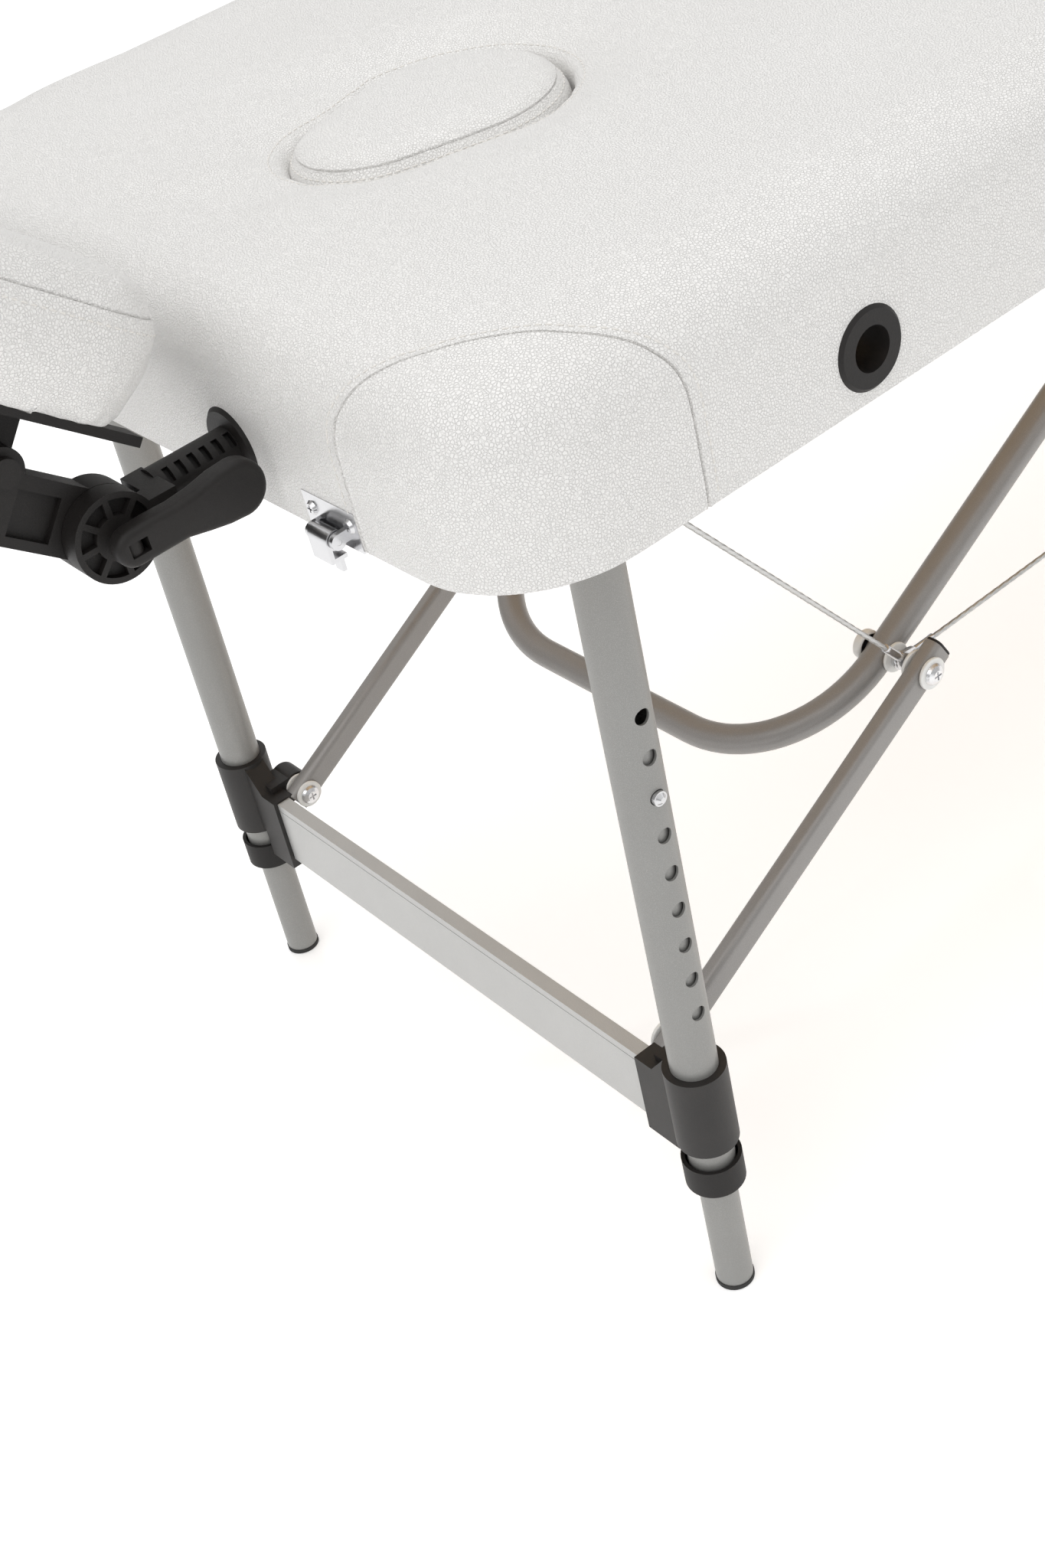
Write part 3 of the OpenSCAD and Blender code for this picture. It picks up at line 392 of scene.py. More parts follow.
@dataclass(frozen=True)
class Webbing:
    """Woven black webbing: warp ribs along the strap crossed by the weft."""

    name: str = "black_webbing"
    colour: tuple = (0.016, 0.016, 0.018)
    light: tuple = (0.055, 0.055, 0.060)
    rib: float = 560.0

    def make(self) -> bpy.types.Material:
        """Builds the material."""
        s = Shader(self.name)
        along, _, across = s.place()
        turn = 2.0 * math.pi * self.rib
        warp = s.math("SINE", across * turn) * 0.5 + 0.5
        weft = s.math("SINE", along * turn * 0.8) * 0.5 + 0.5
        weave = warp * 0.6 + weft * 0.4
        s.set(Base_Color=s.mix(weave, self.colour, self.light), Roughness=0.78 - 0.12 * weave)
        s.principled.inputs["Sheen Weight"].default_value = 0.25
        s.bump(weave, 0.0004, 0.8)
        return s.material


@dataclass(frozen=True)
class Rubber:
    """Matt black rubber with a fine bloom."""

    name: str = "black_rubber"

    def make(self) -> bpy.types.Material:
        """Builds the material."""
        s = Shader(self.name)
        bloom = s.noise(160.0, 4.0, 0.6)
        s.set(Base_Color=s.mix(bloom * 0.8, (0.014, 0.014, 0.014), (0.040, 0.038, 0.036)),
              Roughness=0.66 + 0.15 * bloom)
        s.bump(s.noise(900.0, 3.0), 0.00012, 0.6)
        return s.material


@dataclass(frozen=True)
class Fastening:
    """Moulded or bright body with a bolt through it, whose washers are nylon and whose head is chrome.

    The bolt lies across the bed, so its parts are told apart by their distance from the middle.
    """

    name: str
    axis: tuple
    washers: tuple
    bolt: tuple
    body: tuple
    worn: tuple
    reach: float = 0.0095

    def make(self) -> bpy.types.Material:
        """Builds the material."""
        s = Shader(self.name)
        x, y, z = s.place()
        y = y.absolute()
        off_x, off_z = x - self.axis[0], z - self.axis[1]
        near = s.math("SQRT", off_x * off_x + off_z * off_z).within(-1.0, self.reach)
        metal = near * y.within(*self.bolt)
        nylon = near * 0.0
        for low, high in self.washers:
            nylon = nylon + y.within(low, high) * near
        grit = s.noise(1500.0, 4.0, 0.6)
        cloud = s.noise(38.0, 5.0, 0.6)
        skin = s.mix(cloud.power(3.0) * 0.9, self.body, self.worn)
        bright = s.mix(metal, skin, (0.76, 0.76, 0.77))
        s.set(Base_Color=s.mix(nylon, bright, (0.82, 0.82, 0.80)), Metallic=metal * (1.0 - nylon),
              Roughness=0.42 + 0.16 * grit - metal * 0.30 + nylon * 0.12)
        s.bump(grit, 0.0001, 0.6)
        return s.material


@dataclass(frozen=True)
class Thread:
    """Pale sewing thread."""

    name: str = "stitch_thread"

    def make(self) -> bpy.types.Material:
        """Builds the material."""
        s = Shader(self.name)
        ply = s.noise(1800.0, 2.0)
        s.set(Base_Color=s.mix(ply, (0.86, 0.84, 0.80), (0.70, 0.67, 0.63)), Roughness=0.6 + 0.1 * ply)
        s.bump(ply, 0.0001, 0.5)
        return s.material


@dataclass
class Finishes:
    """All materials by the name of the record's slot, made once."""

    made: dict = field(default_factory=dict)

    def build(self) -> None:
        """Makes every material."""
        black, worn, steel = (0.011, 0.0095, 0.0085), (0.036, 0.031, 0.029), (0.64, 0.64, 0.65)
        washer_bands = ((0.1869, 0.18905), (0.2009, 0.2029))
        knee_bands = washer_bands[:1] + ((0.1508, 0.15285), (0.1722, 0.1744), (0.2010, 0.20312))
        makers = [
            Fastening(f"{end.word}_lower_bolts", (end.x(-0.832), 0.1575), washer_bands, (0.17, 0.2029), black, worn)
            for end in End
        ] + [
            Fastening(f"{end.word}_knee_bolts", (end.x(-0.599), 0.282), knee_bands, (0.14, 0.22), steel, steel, 0.02)
            for end in End
        ] + [
            Vinyl(), MouldedPlastic(), Rubber(), Webbing(), Plywood(), Nylon(), Thread(),
            PowderCoat("grey_powder_coat", (0.295, 0.293, 0.282), (0.52, 0.52, 0.50), 0.33, 0.30),
            PowderCoat("crossbar_coat", (0.545, 0.545, 0.535), (0.74, 0.74, 0.72), 0.36, 0.25),
            PowderCoat("brace_powder_coat", (0.305, 0.294, 0.284), (0.50, 0.48, 0.47), 0.32, 0.25),
            BrightMetal(), BrightMetal("plated_steel", (0.56, 0.56, 0.57), 0.26),
            BrightMetal("steel_cable", (0.62, 0.62, 0.61), 0.32),
        ]
        for maker in makers:
            self.made[maker.name] = maker.make()
        self.made["foam"] = self._foam()

    def _foam(self) -> bpy.types.Material:
        """Open-cell foam, seen only where the cover is open."""
        s = Shader("foam")
        cells = s.cells(700.0)
        s.set(Base_Color=s.mix(cells, (0.62, 0.55, 0.33), (0.80, 0.74, 0.52)), Roughness=0.85 + 0.1 * cells)
        s.bump(cells, 0.0006, 0.8)
        return s.material

    def dress(self, obj: bpy.types.Object, name: str) -> bpy.types.Object:
        """Gives an object one material all over.

        Args:
            obj: the piece.
            name: the material's name.

        Returns:
            The same object.
        """
        obj.data.materials.clear()
        obj.data.materials.append(self.made[name])
        return obj


# ---------- modelling helpers ----------


def deselect_all() -> None:
    """Leaves object mode with nothing selected."""
    if bpy.context.object is not None and bpy.context.object.mode != "OBJECT":
        bpy.ops.object.mode_set(mode="OBJECT")
    bpy.ops.object.select_all(action="DESELECT")


def make_active(obj: bpy.types.Object) -> None:
    """Selects one object alone and makes it the active one."""
    deselect_all()
    obj.select_set(True)
    bpy.context.view_layer.objects.active = obj


def name_it(obj: bpy.types.Object, name: str) -> bpy.types.Object:
    """Names an object and its mesh."""
    obj.name = name
    obj.data.name = name
    return obj


def settle(obj: bpy.types.Object) -> bpy.types.Object:
    """Puts an object's place, turn and scale into its mesh."""
    make_active(obj)
    bpy.ops.object.transform_apply(location=True, rotation=True, scale=True)
    return obj


def add_box(name: str, low: Sequence[float], high: Sequence[float]) -> bpy.types.Object:
    """Adds a box between two corners.

    Args:
        name: the new object's name.
        low: its lowest corner in metres.
        high: its highest corner in metres.

    Returns:
        The box, with its place in its mesh.
    """
    deselect_all()
    middle = [(a + b) / 2 for a, b in zip(low, high)]
    bpy.ops.mesh.primitive_cube_add(size=1.0, location=middle)
    box = bpy.context.object
    box.scale = [b - a for a, b in zip(low, high)]
    return settle(name_it(box, name))


def select_edges(obj: bpy.types.Object, wanted: Callable[[Vector, Vector], bool]) -> None:
    """Enters edit mode with just the edges selected whose two ends satisfy a test."""
    make_active(obj)
    bpy.ops.object.mode_set(mode="EDIT")
    bpy.ops.mesh.select_mode(type="EDGE")
    bpy.ops.mesh.select_all(action="DESELECT")
    mesh = bmesh.from_edit_mesh(obj.data)
    for edge in mesh.edges:
        edge.select = wanted(edge.verts[0].co, edge.verts[1].co)
    mesh.select_flush_mode()
    bmesh.update_edit_mesh(obj.data)


def bevel_edges(obj: bpy.types.Object, wanted: Callable[[Vector, Vector], bool], width: float,
                segments: int) -> None:
    """Rounds the edges that satisfy a test.

    Args:
        obj: the object to work on.
        wanted: test on an edge's two ends.
        width: the rounding's width in metres.
        segments: how many faces make the rounding.
    """
    select_edges(obj, wanted)
    bpy.ops.mesh.bevel(offset=width, segments=segments, profile=0.5, affect="EDGES")
    bpy.ops.object.mode_set(mode="OBJECT")


def use_modifier(obj: bpy.types.Object, kind: str, **settings: object) -> None:
    """Adds a modifier with these settings and applies it at once."""
    make_active(obj)
    modifier = obj.modifiers.new(kind.title(), kind)
    for name, value in settings.items():
        setattr(modifier, name, value)
    bpy.ops.object.modifier_apply(modifier=modifier.name)


def smooth(obj: bpy.types.Object, angle: float = math.radians(40)) -> bpy.types.Object:
    """Shades an object smooth, with edges sharper than an angle kept."""
    make_active(obj)
    bpy.ops.object.shade_smooth_by_angle(angle=angle)
    return obj


def copy_of(node: str, name: str) -> bpy.types.Object:
    """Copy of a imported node's mesh, with its loose triangles joined."""
    source = CAD_NODES[node]
    twin = bpy.data.objects.new(name, source.data.copy())
    bpy.context.scene.collection.objects.link(twin)
    make_active(twin)
    bpy.ops.object.mode_set(mode="EDIT")
    bpy.ops.mesh.select_all(action="SELECT")
    bpy.ops.mesh.remove_doubles(threshold=0.00001)
    bpy.ops.object.mode_set(mode="OBJECT")
    twin.data.name = name
    return twin


def inflate(obj: bpy.types.Object, pressure: float, cap: float, pinned: Callable[[Vector], bool],
            freedom: Callable[[Vector], float] = lambda point: 1.0) -> None:
    """Swells a fabric shell by cloth simulation, outwards only and within a cap of where each point was.

    Args:
        obj: the shell.
        pressure: the air pressure inside.
        cap: the furthest that a point may move, in metres.
        pinned: test on a point for what is stapled down.
        freedom: how much of its swelling a point keeps, from 0 to 1.
    """
    rest = [(v.co.copy(), v.normal.copy()) for v in obj.data.vertices]
    make_active(obj)
    group = obj.vertex_groups.new(name="stapled")
    group.add([v.index for v in obj.data.vertices if pinned(v.co)], 1.0, "REPLACE")
    cloth = obj.modifiers.new("Cloth", "CLOTH")
    cloth.settings.vertex_group_mass = "stapled"
    cloth.settings.use_pressure = True
    cloth.settings.uniform_pressure_force = pressure
    cloth.settings.effector_weights.gravity = 0.0
    cloth.settings.quality = 5
    cloth.settings.tension_stiffness = 25.0
    cloth.settings.compression_stiffness = 25.0
    cloth.settings.bending_stiffness = 2.0
    cloth.settings.mass = 0.4
    cloth.collision_settings.use_collision = False
    cloth.point_cache.frame_end = 22
    for step in range(1, 21):
        bpy.context.scene.frame_set(step)
    bpy.ops.object.modifier_apply(modifier=cloth.name)
    bpy.context.scene.frame_set(1)
    for vertex, (start, normal) in zip(obj.data.vertices, rest):
        rise = max((vertex.co - start).dot(normal), 0.0)
        vertex.co = start + normal * cap * math.tanh(rise / cap) * freedom(start)
    obj.vertex_groups.clear()
    use_modifier(obj, "SMOOTH", iterations=2, factor=0.5)


def tree_of(obj: bpy.types.Object) -> BVHTree:
    """Search tree over an object's faces."""
    mesh = bmesh.new()
    mesh.from_mesh(obj.data)
    tree = BVHTree.FromBMesh(mesh)
    mesh.free()
    return tree


def crease(obj: bpy.types.Object, points: Callable[[Vector], float], plane_point: Vector,
           plane_normal: Vector, width: float, depth: float) -> None:
    """Cuts a seam line where a plane crosses a shell and sinks it below its two banks.

    Args:
        obj: the shell.
        points: how strongly a point takes the seam, from 0 to 1.
        plane_point: a point on the seam's plane.
        plane_normal: the plane's normal.
        width: half the seam's width in metres.
        depth: the seam's depth in metres.
    """
    normal = plane_normal.normalized()
    mesh = bmesh.new()
    mesh.from_mesh(obj.data)
    for shift in (-width, -width * 0.35, 0.0, width * 0.35, width):
        near = [f for f in mesh.faces if abs((f.calc_center_median() - plane_point).dot(normal)) < 0.03
                and points(f.calc_center_median()) > 0]
        edges = list({e for f in near for e in f.edges})
        verts = list({v for f in near for v in f.verts})
        bmesh.ops.bisect_plane(mesh, geom=verts + edges + near, dist=1e-6,
                               plane_co=plane_point + normal * shift, plane_no=normal)
    mesh.normal_update()
    moves = []
    for vertex in mesh.verts:
        off = abs((vertex.co - plane_point).dot(normal))
        if off < width * 0.2:
            moves.append((vertex, -depth * points(vertex.co)))
        elif off < width * 0.6:
            moves.append((vertex, depth * 0.25 * points(vertex.co)))
    shifts = [(v, v.normal * m) for v, m in moves]
    for vertex, move in shifts:
        vertex.co += move
    mesh.to_mesh(obj.data)
    mesh.free()


@dataclass
class Stitching:
    """Rows of thread stitches that lie on a surface."""

    finishes: Finishes
    length: float = 3.4 * MM
    pitch: float = 4.6 * MM
    radius: float = 0.34 * MM

    def sew(self, name: str, line: Sequence[Vector], normals: Sequence[Vector]) -> bpy.types.Object:
        """Makes one row of stitches.

        Args:
            name: the new object's name.
            line: points along the surface, in order.
            normals: the surface's normal at each of them.

        Returns:
            All stitches of the row as one object.
        """
        deselect_all()
        bpy.ops.mesh.primitive_uv_sphere_add(segments=8, ring_count=6, radius=1.0)
        pattern = bpy.context.object
        bead = bmesh.new()
        bead.from_mesh(pattern.data)
        bpy.data.objects.remove(pattern)
        row = bmesh.new()
        travelled, due = 0.0, self.pitch / 2
        for here, there, normal in zip(line, line[1:], normals):
            step = (there - here).length
            if step > 4 * self.pitch:
                due = travelled + step + self.pitch / 2
            while due <= travelled + step and step > 0:
                along = (there - here).normalized()
                spot = here.lerp(there, (due - travelled) / step)
                across = normal.cross(along).normalized()
                basis = Matrix((along * self.length / 2, across * self.radius * 1.3,
                                normal * self.radius)).transposed().to_4x4()
                basis.translation = spot + normal * self.radius * 0.35
                copy = bead.copy()
                bmesh.ops.transform(copy, matrix=basis, verts=copy.verts)
                scratch = bpy.data.meshes.new("scratch")
                copy.to_mesh(scratch)
                row.from_mesh(scratch)
                copy.free()
                bpy.data.meshes.remove(scratch)
                due += self.pitch
            travelled += step
        bmesh.ops.recalc_face_normals(row, faces=row.faces)
        mesh = bpy.data.meshes.new(name)
        row.to_mesh(mesh)
        row.free()
        bead.free()
        obj = bpy.data.objects.new(name, mesh)
        bpy.context.scene.collection.objects.link(obj)
        for face in mesh.polygons:
            face.use_smooth = True
        return self.finishes.dress(obj, "stitch_thread")


# ---------- upholstery ----------


@dataclass
class BreathHole:
    """Egg-shaped hole through the bed near its head end."""

    centre_x: float = -0.720
    length: float = 0.168
    width: float = 0.136
    small_share: float = 0.78

    def reach(self, x: float, y: float) -> float:
        """Distance of a point outside the hole's outline, negative inside it.

        Args:
            x: distance along the bed from the hinge.
            y: distance across the bed.

        Returns:
            The distance in metres.
        """
        big = self.width / 2
        small = big * self.small_share
        start = self.centre_x - self.length / 2 + small
        end = self.centre_x + self.length / 2 - big
        share = min(max((x - start) / (end - start), 0.0), 1.0)
        radius = small + (big - small) * share
        return math.hypot(x - (start + (end - start) * share), y) - radius

    def outline(self, inset: float, count: int) -> list[tuple[float, float]]:
        """Points round the hole, shrunk by an inset."""
        points = []
        for i in range(count):
            angle = 2 * math.pi * i / count
            low, high = 0.0, 0.3
            for _ in range(30):
                middle = (low + high) / 2
                x = self.centre_x + middle * math.cos(angle)
                if self.reach(x, middle * math.sin(angle)) < -inset:
                    low = middle
                else:
                    high = middle
            points.append((self.centre_x + low * math.cos(angle), low * math.sin(angle)))
        return points


@dataclass
class BedCover:
    """Vinyl cover of one half: a rounded shell, swollen by its foam and stitched at its two corners."""

    end: End
    finishes: Finishes
    stitching: Stitching
    hole: BreathHole
    half_width: float = 0.306
    half_length: float = 0.930
    bottom_z: float = 0.556
    top_z: float = 0.651
    corner_r: float = 0.068
    edge_r: float = 0.038
    hinge_edge_r: float = 0.007
    hinge_gap: float = 0.0005
    voxel: float = 0.008
    swell_room: float = 0.002
    wall_room: float = 0.0012
    swell: float = 0.005
    frame_top_z: float = 0.604
    rim_dip: float = 0.0065
    socket_z: float = 0.582
    socket_r: float = 0.017
    seam_reach: float = 0.020
    stitch_reach: float = 0.0155

    def build(self) -> bpy.types.Object:
        """Models the cover and its stitching and puts them on their body."""
        name = f"{self.end.word}_upholstery"
        shell = self._rounded_block(name)
        if self.end is End.HEAD:
            self._cut_hole(shell)
        use_modifier(shell, "REMESH", mode="VOXEL", voxel_size=self.voxel, adaptivity=0.0)
        self._open_underside(shell)
        room = self.swell_room
        inflate(shell, 1.6, self.swell, lambda p: p.z < self.bottom_z + 0.004 or abs(p.x) < room + 0.004,
                self._freedom)
        self._sink_hole_rim(shell)
        use_modifier(shell, "SUBSURF", levels=1, render_levels=1)
        self._keep_plan(shell)
        if self.end is End.HEAD:
            self._open_sockets(shell)
        rows = [self._corner_seam(shell, side) for side in Side]
        if self.end is End.HEAD:
            rows.append(self._hole_stitches(shell))
        use_modifier(shell, "SOLIDIFY", thickness=0.0018, offset=-1.0)
        self._place(shell)
        smooth(self.finishes.dress(shell, "white_vinyl"), math.radians(60))
        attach(shell, f"{self.end.word}_section")
        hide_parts(f"{self.end.word}_cover", f"{self.end.word}_foam")
        for row in rows:
            self._place(row)
            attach(row, f"{self.end.word}_section")
        LOG.info("%s: %d faces", name, len(shell.data.polygons))
        return shell

    def _rounded_block(self, name: str) -> bpy.types.Object:
        """Block of one half in hinge coordinates, at the head end, with its edges rounded."""
        room = self.swell_room
        proud = self.wall_room
        low = (-self.half_length - proud, -self.half_width - proud, self.bottom_z - 0.006)
        high = (-self.hinge_gap, self.half_width + proud, self.top_z - room)
        block = add_box(name, low, high)
        bevel_edges(block, lambda a, b: abs(a.z - b.z) > 0.05 and max(a.x, b.x) < low[0] + 0.01,
                    self.corner_r, 16)
        bevel_edges(block, lambda a, b: min(a.z, b.z) > high[2] - 0.001 and min(a.x, b.x) > high[0] - 0.001,
                    self.hinge_edge_r, 4)
        bevel_edges(block, lambda a, b: min(a.z, b.z) > high[2] - 0.001 and min(a.x, b.x) < high[0] - 0.1,
                    self.edge_r, 10)
        return block

    def _cut_hole(self, block: bpy.types.Object) -> None:
        """Bores the breath hole through the block."""
        deselect_all()
        count = 96
        bpy.ops.mesh.primitive_cylinder_add(vertices=count, radius=1.0, depth=0.3)
        cutter = bpy.context.object
        for vertex in cutter.data.vertices:
            angle = math.atan2(vertex.co.y, vertex.co.x)
            low, high = 0.0, 0.2
            for _ in range(24):
                middle = (low + high) / 2
                x = self.hole.centre_x + middle * math.cos(angle)
                inside = self.hole.reach(x, middle * math.sin(angle)) < 0.0
                low, high = (middle, high) if inside else (low, middle)
            vertex.co = (self.hole.centre_x + low * math.cos(angle), low * math.sin(angle), 0.6 + vertex.co.z)
        use_modifier(block, "BOOLEAN", object=cutter, operation="DIFFERENCE", solver="EXACT")
        bpy.data.objects.remove(cutter)

    def _freedom(self, point: Vector) -> float:
        """Share of its swelling that a point keeps: none over the wooden frame, all on the foam."""
        low, high = self.frame_top_z, self.frame_top_z + 0.018
        share = min(max((point.z - low) / (high - low), 0.0), 1.0)
        return share * share * (3.0 - 2.0 * share)

    def _open_underside(self, shell: bpy.types.Object) -> None:
        """Deletes the faces that look down, so that the frame shows from below."""
        mesh = bmesh.new()
        mesh.from_mesh(shell.data)
        gone = [f for f in mesh.faces if f.calc_center_median().z < self.bottom_z]
        bmesh.ops.delete(mesh, geom=gone, context="FACES")
        mesh.to_mesh(shell.data)
        mesh.free()

    def _sink_hole_rim(self, shell: bpy.types.Object) -> None:
        """Lets the cover slope down towards the breath hole, and pulls its wall straight."""
        if self.end is End.FOOT:
            return
        for vertex in shell.data.vertices:
            away = self.hole.reach(vertex.co.x, vertex.co.y)
            if away < 0.09 and vertex.co.z > self.bottom_z + 0.03:
                slope = math.exp(-max(away, 0.0) / 0.021)
                share = (vertex.co.z - self.bottom_z - 0.03) / (self.top_z - self.bottom_z - 0.03)
                vertex.co.z -= self.rim_dip * slope * min(max(share, 0.0), 1.0)

    def _keep_plan(self, shell: bpy.types.Object) -> None:
        """Keeps the shell inside its half at the hinge and level along its lower edge."""
        for vertex in shell.data.vertices:
            vertex.co.x = min(vertex.co.x, -self.hinge_gap)
            if vertex.co.z < self.bottom_z + 0.003:
                vertex.co.z = self.bottom_z

    def _open_sockets(self, shell: bpy.types.Object) -> None:
        """Deletes the faces over the four armrest and cradle sockets, under their flanges."""
        side_x, end_y = (-0.716, -0.522), 0.097
        mesh = bmesh.new()
        mesh.from_mesh(shell.data)
        gone = []
        for face in mesh.faces:
            spot = face.calc_center_median()
            up = spot.z - self.socket_z
            on_side = abs(spot.y) > self.half_width - 0.006 and min(
                math.hypot(spot.x - x, up) for x in side_x) < self.socket_r
            on_end = spot.x < 0.006 - self.half_length and math.hypot(abs(spot.y) - end_y, up) < self.socket_r
            if on_side or on_end:
                gone.append(face)
        bmesh.ops.delete(mesh, geom=gone, context="FACES")
        mesh.to_mesh(shell.data)
        mesh.free()

    def _corner_seam(self, shell: bpy.types.Object, side: Side) -> bpy.types.Object:
        """Sinks the seam across one corner and sews the row of stitches beside it.

        Args:
            shell: the cover in hinge coordinates.
            side: which corner.

        Returns:
            The row of stitches.
        """
        axis = Vector((-self.half_length + self.corner_r,
                       side.value * (self.half_width - self.corner_r), 0.0))
        out = Vector((-1.0, side.value, 0.0)).normalized()
        across = Vector((-out.y, out.x, 0.0))
        crease(shell, lambda p: 1.0 if (p - axis).dot(out) > -0.03 and p.x < -0.6 else 0.0,
               axis + out * self.seam_reach, out, 0.0019, 0.0017)
        tree = tree_of(shell)
        centre = axis + out * self.stitch_reach + Vector((0, 0, 0.585))
        line, normals = [], []
        count = 260
        for i in range(count + 1):
            angle = math.radians(-22) + math.radians(224) * i / count
            ray = across * math.cos(angle) + Vector((0, 0, 1)) * math.sin(angle)
            spot, normal, _, _ = tree.ray_cast(centre + ray * 0.4, -ray)
            if spot is not None and spot.z > self.bottom_z + 0.003:
                line.append(spot)
                normals.append(normal)
        return self.stitching.sew(f"{self.end.word}_{side.word}_corner_stitches", line, normals)

    def _hole_stitches(self, shell: bpy.types.Object) -> bpy.types.Object:
        """Sews the row of stitches round the breath hole's rim."""
        tree = tree_of(shell)
        ring = self.hole.outline(-0.0065, 300)
        line, normals = [], []
        for x, y in ring + ring[:1]:
            spot, normal, _, _ = tree.ray_cast(Vector((x, y, self.top_z + 0.1)), Vector((0, 0, -1)))
            if spot is not None:
                line.append(spot)
                normals.append(normal)
        return self.stitching.sew("breath_hole_stitches", line, normals)

    def _place(self, obj: bpy.types.Object) -> None:
        """Moves a piece from hinge coordinates to its half."""
        flip = 1.0 if self.end is End.HEAD else -1.0
        obj.data.transform(Matrix.Translation((HINGE_X, 0, 0)) @ Matrix.Diagonal((flip, 1, 1, 1)))
        if self.end is End.FOOT:
            obj.data.flip_normals()


@dataclass
class PadCover:
    """Sewn vinyl cover of a small pad, made by swelling its plain solid."""

    node: str
    name: str
    body: str
    finishes: Finishes
    voxel: float = 0.004
    pressure: float = 3.0
    cap: float = 0.006

    def swell(self, floor: Callable[[Vector], bool]) -> bpy.types.Object:
        """Copies, remeshes and swells the pad.

        Args:
            floor: test on a point for the flat side that rests on its base.

        Returns:
            The swollen pad.
        """
        pad = copy_of(self.node, self.name)
        use_modifier(pad, "REMESH", mode="VOXEL", voxel_size=self.voxel, adaptivity=0.0)
        use_modifier(pad, "SMOOTH", iterations=6, factor=0.6)
        inflate(pad, self.pressure, self.cap, floor)
        return pad

    def finish(self, pad: bpy.types.Object, fill: float) -> None:
        """Dresses the pad and puts it on its body."""
        smooth(self.finishes.dress(pad, "white_vinyl"), math.radians(70))
        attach(pad, self.body)
        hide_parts(self.node)
        LOG.info("%s: %d faces", self.name, len(pad.data.polygons))


def build_plug(finishes: Finishes, stitching: Stitching, hole: BreathHole) -> None:
    """Models the breath hole's plug: a domed top panel sewn to its side wall."""
    cover = PadCover("plug_cushion", "breath_plug_pad", "breath_plug", finishes, 0.004, 2.0, 0.002)
    low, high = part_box("plug_cushion")
    pad = cover.swell(lambda p: p.z < low.z + 0.004)
    rise, seam_z = 0.003, high.z - 0.0015
    for vertex in pad.data.vertices:
        away = -hole.reach(vertex.co.x - HINGE_X, vertex.co.y)
        share = min(max((vertex.co.z - low.z - 0.02) / (high.z - low.z - 0.02), 0.0), 1.0)
        vertex.co.z += rise * share
        if vertex.co.z > seam_z:
            vertex.co.z += 0.0012 * min(max(away / 0.05, 0.0), 1.0) ** 0.5
    use_modifier(pad, "SUBSURF", levels=1, render_levels=1)
    crease(pad, lambda p: 1.0, Vector((0, 0, seam_z)), Vector((0, 0, 1)), 0.0016, 0.0011)
    tree = tree_of(pad)
    rim = [(x + HINGE_X, y) for x, y in hole.outline(-0.05, 240)]
    middle = Vector((hole.centre_x + HINGE_X, 0, seam_z - 0.0042))
    line, normals = [], []
    for x, y in rim + rim[:1]:
        start = Vector((x, y, middle.z))
        spot, normal, _, _ = tree.ray_cast(start, (middle - start).normalized())
        if spot is not None:
            line.append(spot)
            normals.append(normal)
    row = stitching.sew("breath_plug_stitches", line, normals)
    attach(row, "breath_plug")
    cover.finish(pad, 0.7)


@dataclass
class CradleFrame:
    """Axes of the tilted face cradle: s runs up along it and n away from its back."""

    hub: Vector = field(default_factory=lambda: Vector((-1.010 + HINGE_X, 0.0, 0.582)))
    angle: float = math.radians(40)

    @property
    def along(self) -> Vector:
        """Unit vector of s."""
        return Vector((-math.cos(self.angle), 0, math.sin(self.angle)))

    @property
    def away(self) -> Vector:
        """Unit vector of n."""
        return Vector((math.sin(self.angle), 0, math.cos(self.angle)))

    def point(self, s: float, y: float, n: float) -> Vector:
        """Frame point of a place in the cradle's own axes."""
        return self.hub + self.along * s + self.away * n + Vector((0, y, 0))

    def local(self, point: Vector) -> tuple[float, float, float]:
        """The place of a frame point in the cradle's own axes."""
        off = point - self.hub
        return off.dot(self.along), point.y, off.dot(self.away)


def build_face_cushion(finishes: Finishes, stitching: Stitching, cradle: CradleFrame) -> None:
    """Models the crescent cushion: a crowned top panel, a tapering side wall and its seam."""
    base_n, taper_n, seam_n, top_n = 0.0463, 0.078, 0.0985, 0.108
    taper, crown = 0.016, 0.004
    cover = PadCover("cradle_cushion", "face_cushion_pad", "cradle_head_rest", finishes, 0.005, 3.0, 0.006)
    pad = cover.swell(lambda p: cradle.local(p)[2] < base_n + 0.006)
    for vertex in pad.data.vertices:
        n = cradle.local(vertex.co)[2]
        out = vertex.normal - cradle.away * vertex.normal.dot(cradle.away)
        low_share = min(max((taper_n - n) / (taper_n - base_n), 0.0), 1.0)
        vertex.co = vertex.co - out * taper * low_share ** 2
        top_share = min(max((n - seam_n) / (top_n - seam_n), 0.0), 1.0)
        vertex.co = vertex.co + cradle.away * crown * top_share
    use_modifier(pad, "SMOOTH", iterations=3, factor=0.5)
    use_modifier(pad, "SUBSURF", levels=1, render_levels=1)
    crease(pad, lambda p: 1.0, cradle.point(0, 0, seam_n), cradle.away, 0.0018, 0.0010)
    tree = tree_of(pad)
    line, normals = [], []
    centre = cradle.point(0.150, 0, seam_n - 0.0065)
    count, half_turn = 420, math.radians(166)
    for i in range(count + 1):
        angle = half_turn * (2 * i / count - 1)
        ray = cradle.along * math.cos(angle) + Vector((0, 1, 0)) * math.sin(angle)
        spot, normal, _, _ = tree.ray_cast(centre + ray * 0.4, -ray)
        if spot is not None:
            line.append(spot)
            normals.append(normal)
    row = stitching.sew("face_cushion_stitches", line, normals)
    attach(row, "cradle_head_rest")
    cover.finish(pad, 0.7)


# ---------- cables ----------


